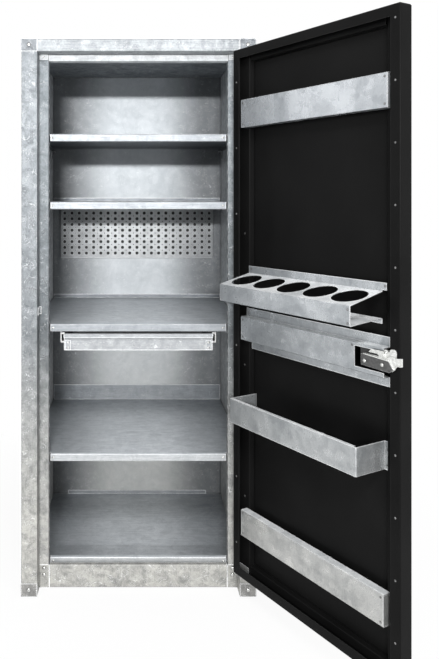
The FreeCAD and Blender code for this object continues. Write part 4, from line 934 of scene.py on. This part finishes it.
@dataclass(frozen=True)
class RoundedPiece:
    """A copy of a sharp-edged node with the rounded edges of a tumbled or moulded part.

    The rounding reaches round_mm from an edge at most. It stays narrower, on the
    latch pieces about 0.1 mm, because the modifier keeps clear of the short
    edges beside it.
    """

    node: str
    body: str
    slot: str
    finish: Finish
    round_mm: float
    segments: int = 3
    coplanar_degrees: float = 1.0
    sharp_degrees: float = 50.0
    smooth_degrees: float = 40.0

    def build(self, dresser: Dresser) -> None:
        """Copy the node, round the copy's edges and dress it.

        Args:
            dresser: Gives the finishes.
        """
        piece = open_copy(self.node)
        bpy.ops.mesh.dissolve_limited(angle_limit=math.radians(self.coplanar_degrees))
        bpy.ops.object.mode_set(mode="OBJECT")
        for key in list(piece.keys()):
            del piece[key]
        piece.parent = None
        piece.matrix_world = Matrix.Identity(4)
        piece.name = f"{self.node}_tumbled"
        bpy.ops.object.modifier_add(type="BEVEL")
        bevel = piece.modifiers[-1]
        bevel.width = self.round_mm * MM
        bevel.segments = self.segments
        bevel.limit_method = "ANGLE"
        bevel.angle_limit = math.radians(self.sharp_degrees)
        bpy.ops.object.modifier_apply(modifier=bevel.name)
        bpy.ops.object.shade_smooth_by_angle(angle=math.radians(self.smooth_degrees))
        dresser.dress_piece(piece, self.finish)
        put_in_place_of(piece, self.node, self.body)
        LOG.info("%s stands for %s", piece.name, self.node)


@dataclass
class Cabinet:
    """The fixed sheet-metal body with its inner frame."""

    outer: tuple[str, ...] = ("left_side_panel", "right_side_panel", "top_panel")
    frame_parts: tuple[str, ...] = (
        "left_front_post", "right_front_post", "kick_plate", "kick_brackets", "floor_stiffeners")
    caps: tuple[str, ...] = ("left_top_cap", "right_top_cap", "left_foot_cap", "right_foot_cap")
    inner_posts: tuple[str, ...] = ("left_inner_post", "right_inner_post", "latch_keeper")
    inner_rails: tuple[str, ...] = ("inner_top_rail", "inner_corner_plates")
    liners: tuple[str, ...] = ("left_liner", "right_liner")

    def build(self, dresser: Dresser) -> None:
        """Dress the cabinet and model its screw heads.

        Args:
            dresser: Gives the finishes.
        """
        dresser.dress(self.outer, OUTER_SHEET)
        dresser.dress(("back_panel",), BACK_SHEET)
        dresser.dress(self.frame_parts, FRAME_SHEET)
        dresser.dress(self.inner_posts, INNER_SHEET)
        dresser.dress(self.caps, CAP_SHEET)
        dresser.dress(("top_front_rail",), TOP_RAIL_SHEET)
        dresser.dress(self.inner_rails, RAIL_SHEET)
        dresser.dress(self.liners, LINER_SHEET)
        dresser.dress(("shelf_rivets",), ZINC_HEADS)
        ScrewHeads("frame_screws", "cabinet", "zinc_fastener", FRONTWARD, FRONT_HEADS).build(dresser)


@dataclass
class Shelving:
    """Shelves, floor pan, tool panel, drawer and slides."""

    shelves: tuple[str, ...] = ("shelf_1", "shelf_2", "shelf_3", "shelf_4", "floor_pan", "shelf_clips")
    drawer: tuple[str, ...] = ("drawer_box", "drawer_front", "drawer_corner_plates")
    slides: tuple[str, ...] = (
        "drawer_hangers", "slide_outer_members", "slide_middle_members", "slide_inner_members")

    def build(self, dresser: Dresser) -> None:
        """Dress the shelving.

        Args:
            dresser: Gives the finishes.
        """
        dresser.dress(self.shelves, SHELF_SHEET)
        dresser.dress(("tool_panel",), PANEL_SHEET)
        dresser.dress(self.drawer, DRAWER_SHEET)
        dresser.dress(self.slides, ZINC_SLIDE)
        dresser.dress(("drawer_rivets",), ZINC_HEADS)


@dataclass
class Door:
    """The black door with its channels, trays and hinge."""

    black: tuple[str, ...] = (
        "door_shell", "door_hinge_channel", "door_lock_channel", "door_cross_channels", "hinge_door_leaf",
        "hinge_frame_leaf")
    trays: tuple[str, ...] = (
        "upper_rail", "can_holder", "latch_bar", "middle_tray", "lower_rail", "door_corner_clip")
    small_head_sides: int = 16

    def build(self, dresser: Dresser) -> None:
        """Dress the door and model its screw heads.

        Args:
            dresser: Gives the finishes.
        """
        dresser.dress(self.black, BLACK_COAT)
        dresser.dress(self.trays, TRAY_SHEET)
        dresser.dress(("hinge_pin",), ZINC_HEADS)
        ScrewHeads("door_screws", "door", "door_screw_zinc", DOOR_INWARD, DARK_HEADS,
                   sides=self.small_head_sides).build(dresser)


@dataclass
class Latch:
    """Latch lever, tab, case, cover and the outside handle.

    The two sizes are the most that the rounding of their edges may reach.
    """

    tumbled_mm: float = 0.35
    grip_mm: float = 1.2

    def build(self, dresser: Dresser) -> None:
        """Round the latch and handle pieces and dress the rest.

        Args:
            dresser: Gives the finishes.
        """
        rounded = (
            RoundedPiece("latch_lever", "latch_lever_body", "latch_zinc", ZINC_LATCH, self.tumbled_mm),
            RoundedPiece("latch_tab", "latch_tab_body", "latch_zinc", ZINC_LATCH, self.tumbled_mm),
            RoundedPiece("latch_cover", "door", "latch_cover_steel", COVER_STEEL, self.tumbled_mm),
            RoundedPiece("door_handle", "handle_body", "handle_black", BLACK_NYLON, self.grip_mm),
            RoundedPiece("handle_rose", "door", "handle_black", BLACK_NYLON, self.tumbled_mm),
        )
        for piece in rounded:
            piece.build(dresser)
        dresser.dress(("latch_rivets",), ZINC_HEADS)
        dresser.dress(("latch_housing",), CASE_STEEL)
        dresser.dress(("lock_cylinder",), LOCK_CHROME)


@dataclass(frozen=True)
class Lamp:
    """One rectangular area lamp: where it hangs, what it faces, its panel and its watts."""

    name: str
    place: Vector
    aim: Vector
    size: tuple[float, float]
    power: float
    mirrored: bool = False

    def hang(self) -> None:
        """Hang the lamp, shown in shiny metal only where it is mirrored."""
        data = bpy.data.lights.new(self.name, "AREA")
        data.shape = "RECTANGLE"
        data.size, data.size_y = self.size
        data.energy = self.power
        lamp = bpy.data.objects.new(self.name, data)
        lamp.location = self.place
        lamp.rotation_euler = (self.aim - self.place).to_track_quat("-Z", "Y").to_euler()
        lamp.visible_glossy = self.mirrored
        bpy.context.scene.collection.objects.link(lamp)


@dataclass
class Studio:
    """Camera, floor and soft lights."""

    image_width: int = 439
    image_height: int = 659
    sensor_height: float = 36.0
    focal_px: float = 700.0
    centre_px: tuple[float, float] = (132.0, 200.0)
    camera_at: tuple[float, float, float] = (-0.0168, -2.1095, 1.0255)
    room_light: float = 0.45
    floor_size: float = 24.0
    floor_drop_mm: float = 0.5
    floor_paint: str = "F4F4F4"
    shadow_reach: tuple[float, float] = (0.35, 1.1)
    shadow_white: float = 0.88
    lamps: tuple[Lamp, ...] = (
        Lamp("key_strip", Vector((-0.25, -5.19, 1.58)), Vector((0, 0, 0.9)), (0.6, 0.14), 150, True),
        Lamp("top_softbox", Vector((0.0, -2.9, 2.6)), Vector((0.1, -0.3, 0.7)), (1.0, 0.6), 80),
        Lamp("right_fill", Vector((1.7, -3.0, 1.2)), Vector((-0.25, 0, 0.8)), (0.3, 0.9), 20),
        Lamp("side_strip", Vector((-1.9, 0.0, 1.25)), Vector((0.4, -0.6, 1.1)), (0.06, 1.3), 1.3, True),
    )

    def place_camera(self) -> None:
        """Put the camera in front of the locker, level and looking straight back."""
        data = bpy.data.cameras.new("camera")
        data.sensor_fit = "VERTICAL"
        data.sensor_height = self.sensor_height
        data.lens = self.focal_px / self.image_height * data.sensor_height
        data.shift_x = (self.image_width / 2 - self.centre_px[0]) / self.image_height
        data.shift_y = -(self.image_height / 2 - self.centre_px[1]) / self.image_height
        camera = bpy.data.objects.new("camera", data)
        camera.location = self.camera_at
        camera.rotation_euler = (math.radians(90), 0, 0)
        bpy.context.scene.collection.objects.link(camera)
        bpy.context.scene.camera = camera

    def seen_directly(self, tree: Tree) -> Socket:
        """Tell rays that look at the background from rays that light the object.

        Args:
            tree: The floor's or the world's node tree.

        Returns:
            A socket that is 1 for camera, glossy and transmission rays.
        """
        path = add_node(tree, "ShaderNodeLightPath")
        mirror = add_node(tree, "ShaderNodeMath",
                          {0: path.outputs["Is Camera Ray"], 1: path.outputs["Is Glossy Ray"]},
                          operation="MAXIMUM")
        return add_node(tree, "ShaderNodeMath",
                        {0: mirror.outputs[0], 1: path.outputs["Is Transmission Ray"]},
                        operation="MAXIMUM").outputs[0]

    def lay_floor(self) -> None:
        """Lay a floor that is white to the eye and keeps a faint shadow near the locker."""
        bpy.ops.object.select_all(action="DESELECT")
        bpy.ops.mesh.primitive_plane_add(size=self.floor_size, location=(0, 0, -self.floor_drop_mm * MM))
        floor = bpy.context.object
        floor.name = "studio_floor"
        material = bpy.data.materials.new("painted_floor_white")
        tree = empty_tree(material)
        paint = add_node(tree, "ShaderNodeBsdfDiffuse", in_Color=linear_rgba(self.floor_paint))
        glow = add_node(tree, "ShaderNodeEmission", in_Color=(1, 1, 1, 1), in_Strength=1.0)
        away = add_node(tree, "ShaderNodeVectorMath", {0: object_place(tree)}, operation="LENGTH")
        share = add_node(tree, "ShaderNodeMapRange", {"Value": away.outputs["Value"]},
                         span=self.shadow_reach, onto=(self.shadow_white, 1.0))
        seen = add_node(tree, "ShaderNodeMath", {0: self.seen_directly(tree), 1: share.outputs[0]},
                        operation="MULTIPLY")
        mix = add_node(tree, "ShaderNodeMixShader",
                       {0: seen.outputs[0], 1: paint.outputs[0], 2: glow.outputs[0]})
        add_node(tree, "ShaderNodeOutputMaterial", {"Surface": mix.outputs[0]})
        floor.data.materials.append(material)

    def light_world(self) -> None:
        """Light the room evenly and show white behind the locker and in its metal."""
        world = bpy.data.worlds.new("studio")
        bpy.context.scene.world = world
        tree = empty_tree(world)
        room = add_node(tree, "ShaderNodeBackground", in_Color=(1, 1, 1, 1), in_Strength=self.room_light)
        white = add_node(tree, "ShaderNodeBackground", in_Color=(1, 1, 1, 1), in_Strength=1.0)
        mix = add_node(tree, "ShaderNodeMixShader",
                       {0: self.seen_directly(tree), 1: room.outputs[0], 2: white.outputs[0]})
        add_node(tree, "ShaderNodeOutputWorld", {"Surface": mix.outputs[0]})

    def build(self) -> None:
        """Set up the studio."""
        bpy.context.scene.view_settings.view_transform = "Standard"
        self.place_camera()
        self.lay_floor()
        self.light_world()
        for lamp in self.lamps:
            lamp.hang()
        LOG.info("studio ready")


def main() -> None:
    """Dress every sub-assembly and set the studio."""
    logging.basicConfig(level=logging.INFO)
    dresser = Dresser()
    for part in (Cabinet(), Shelving(), Door(), Latch()):
        part.build(dresser)
    Studio().build()


if __name__ == "__main__":
    main()
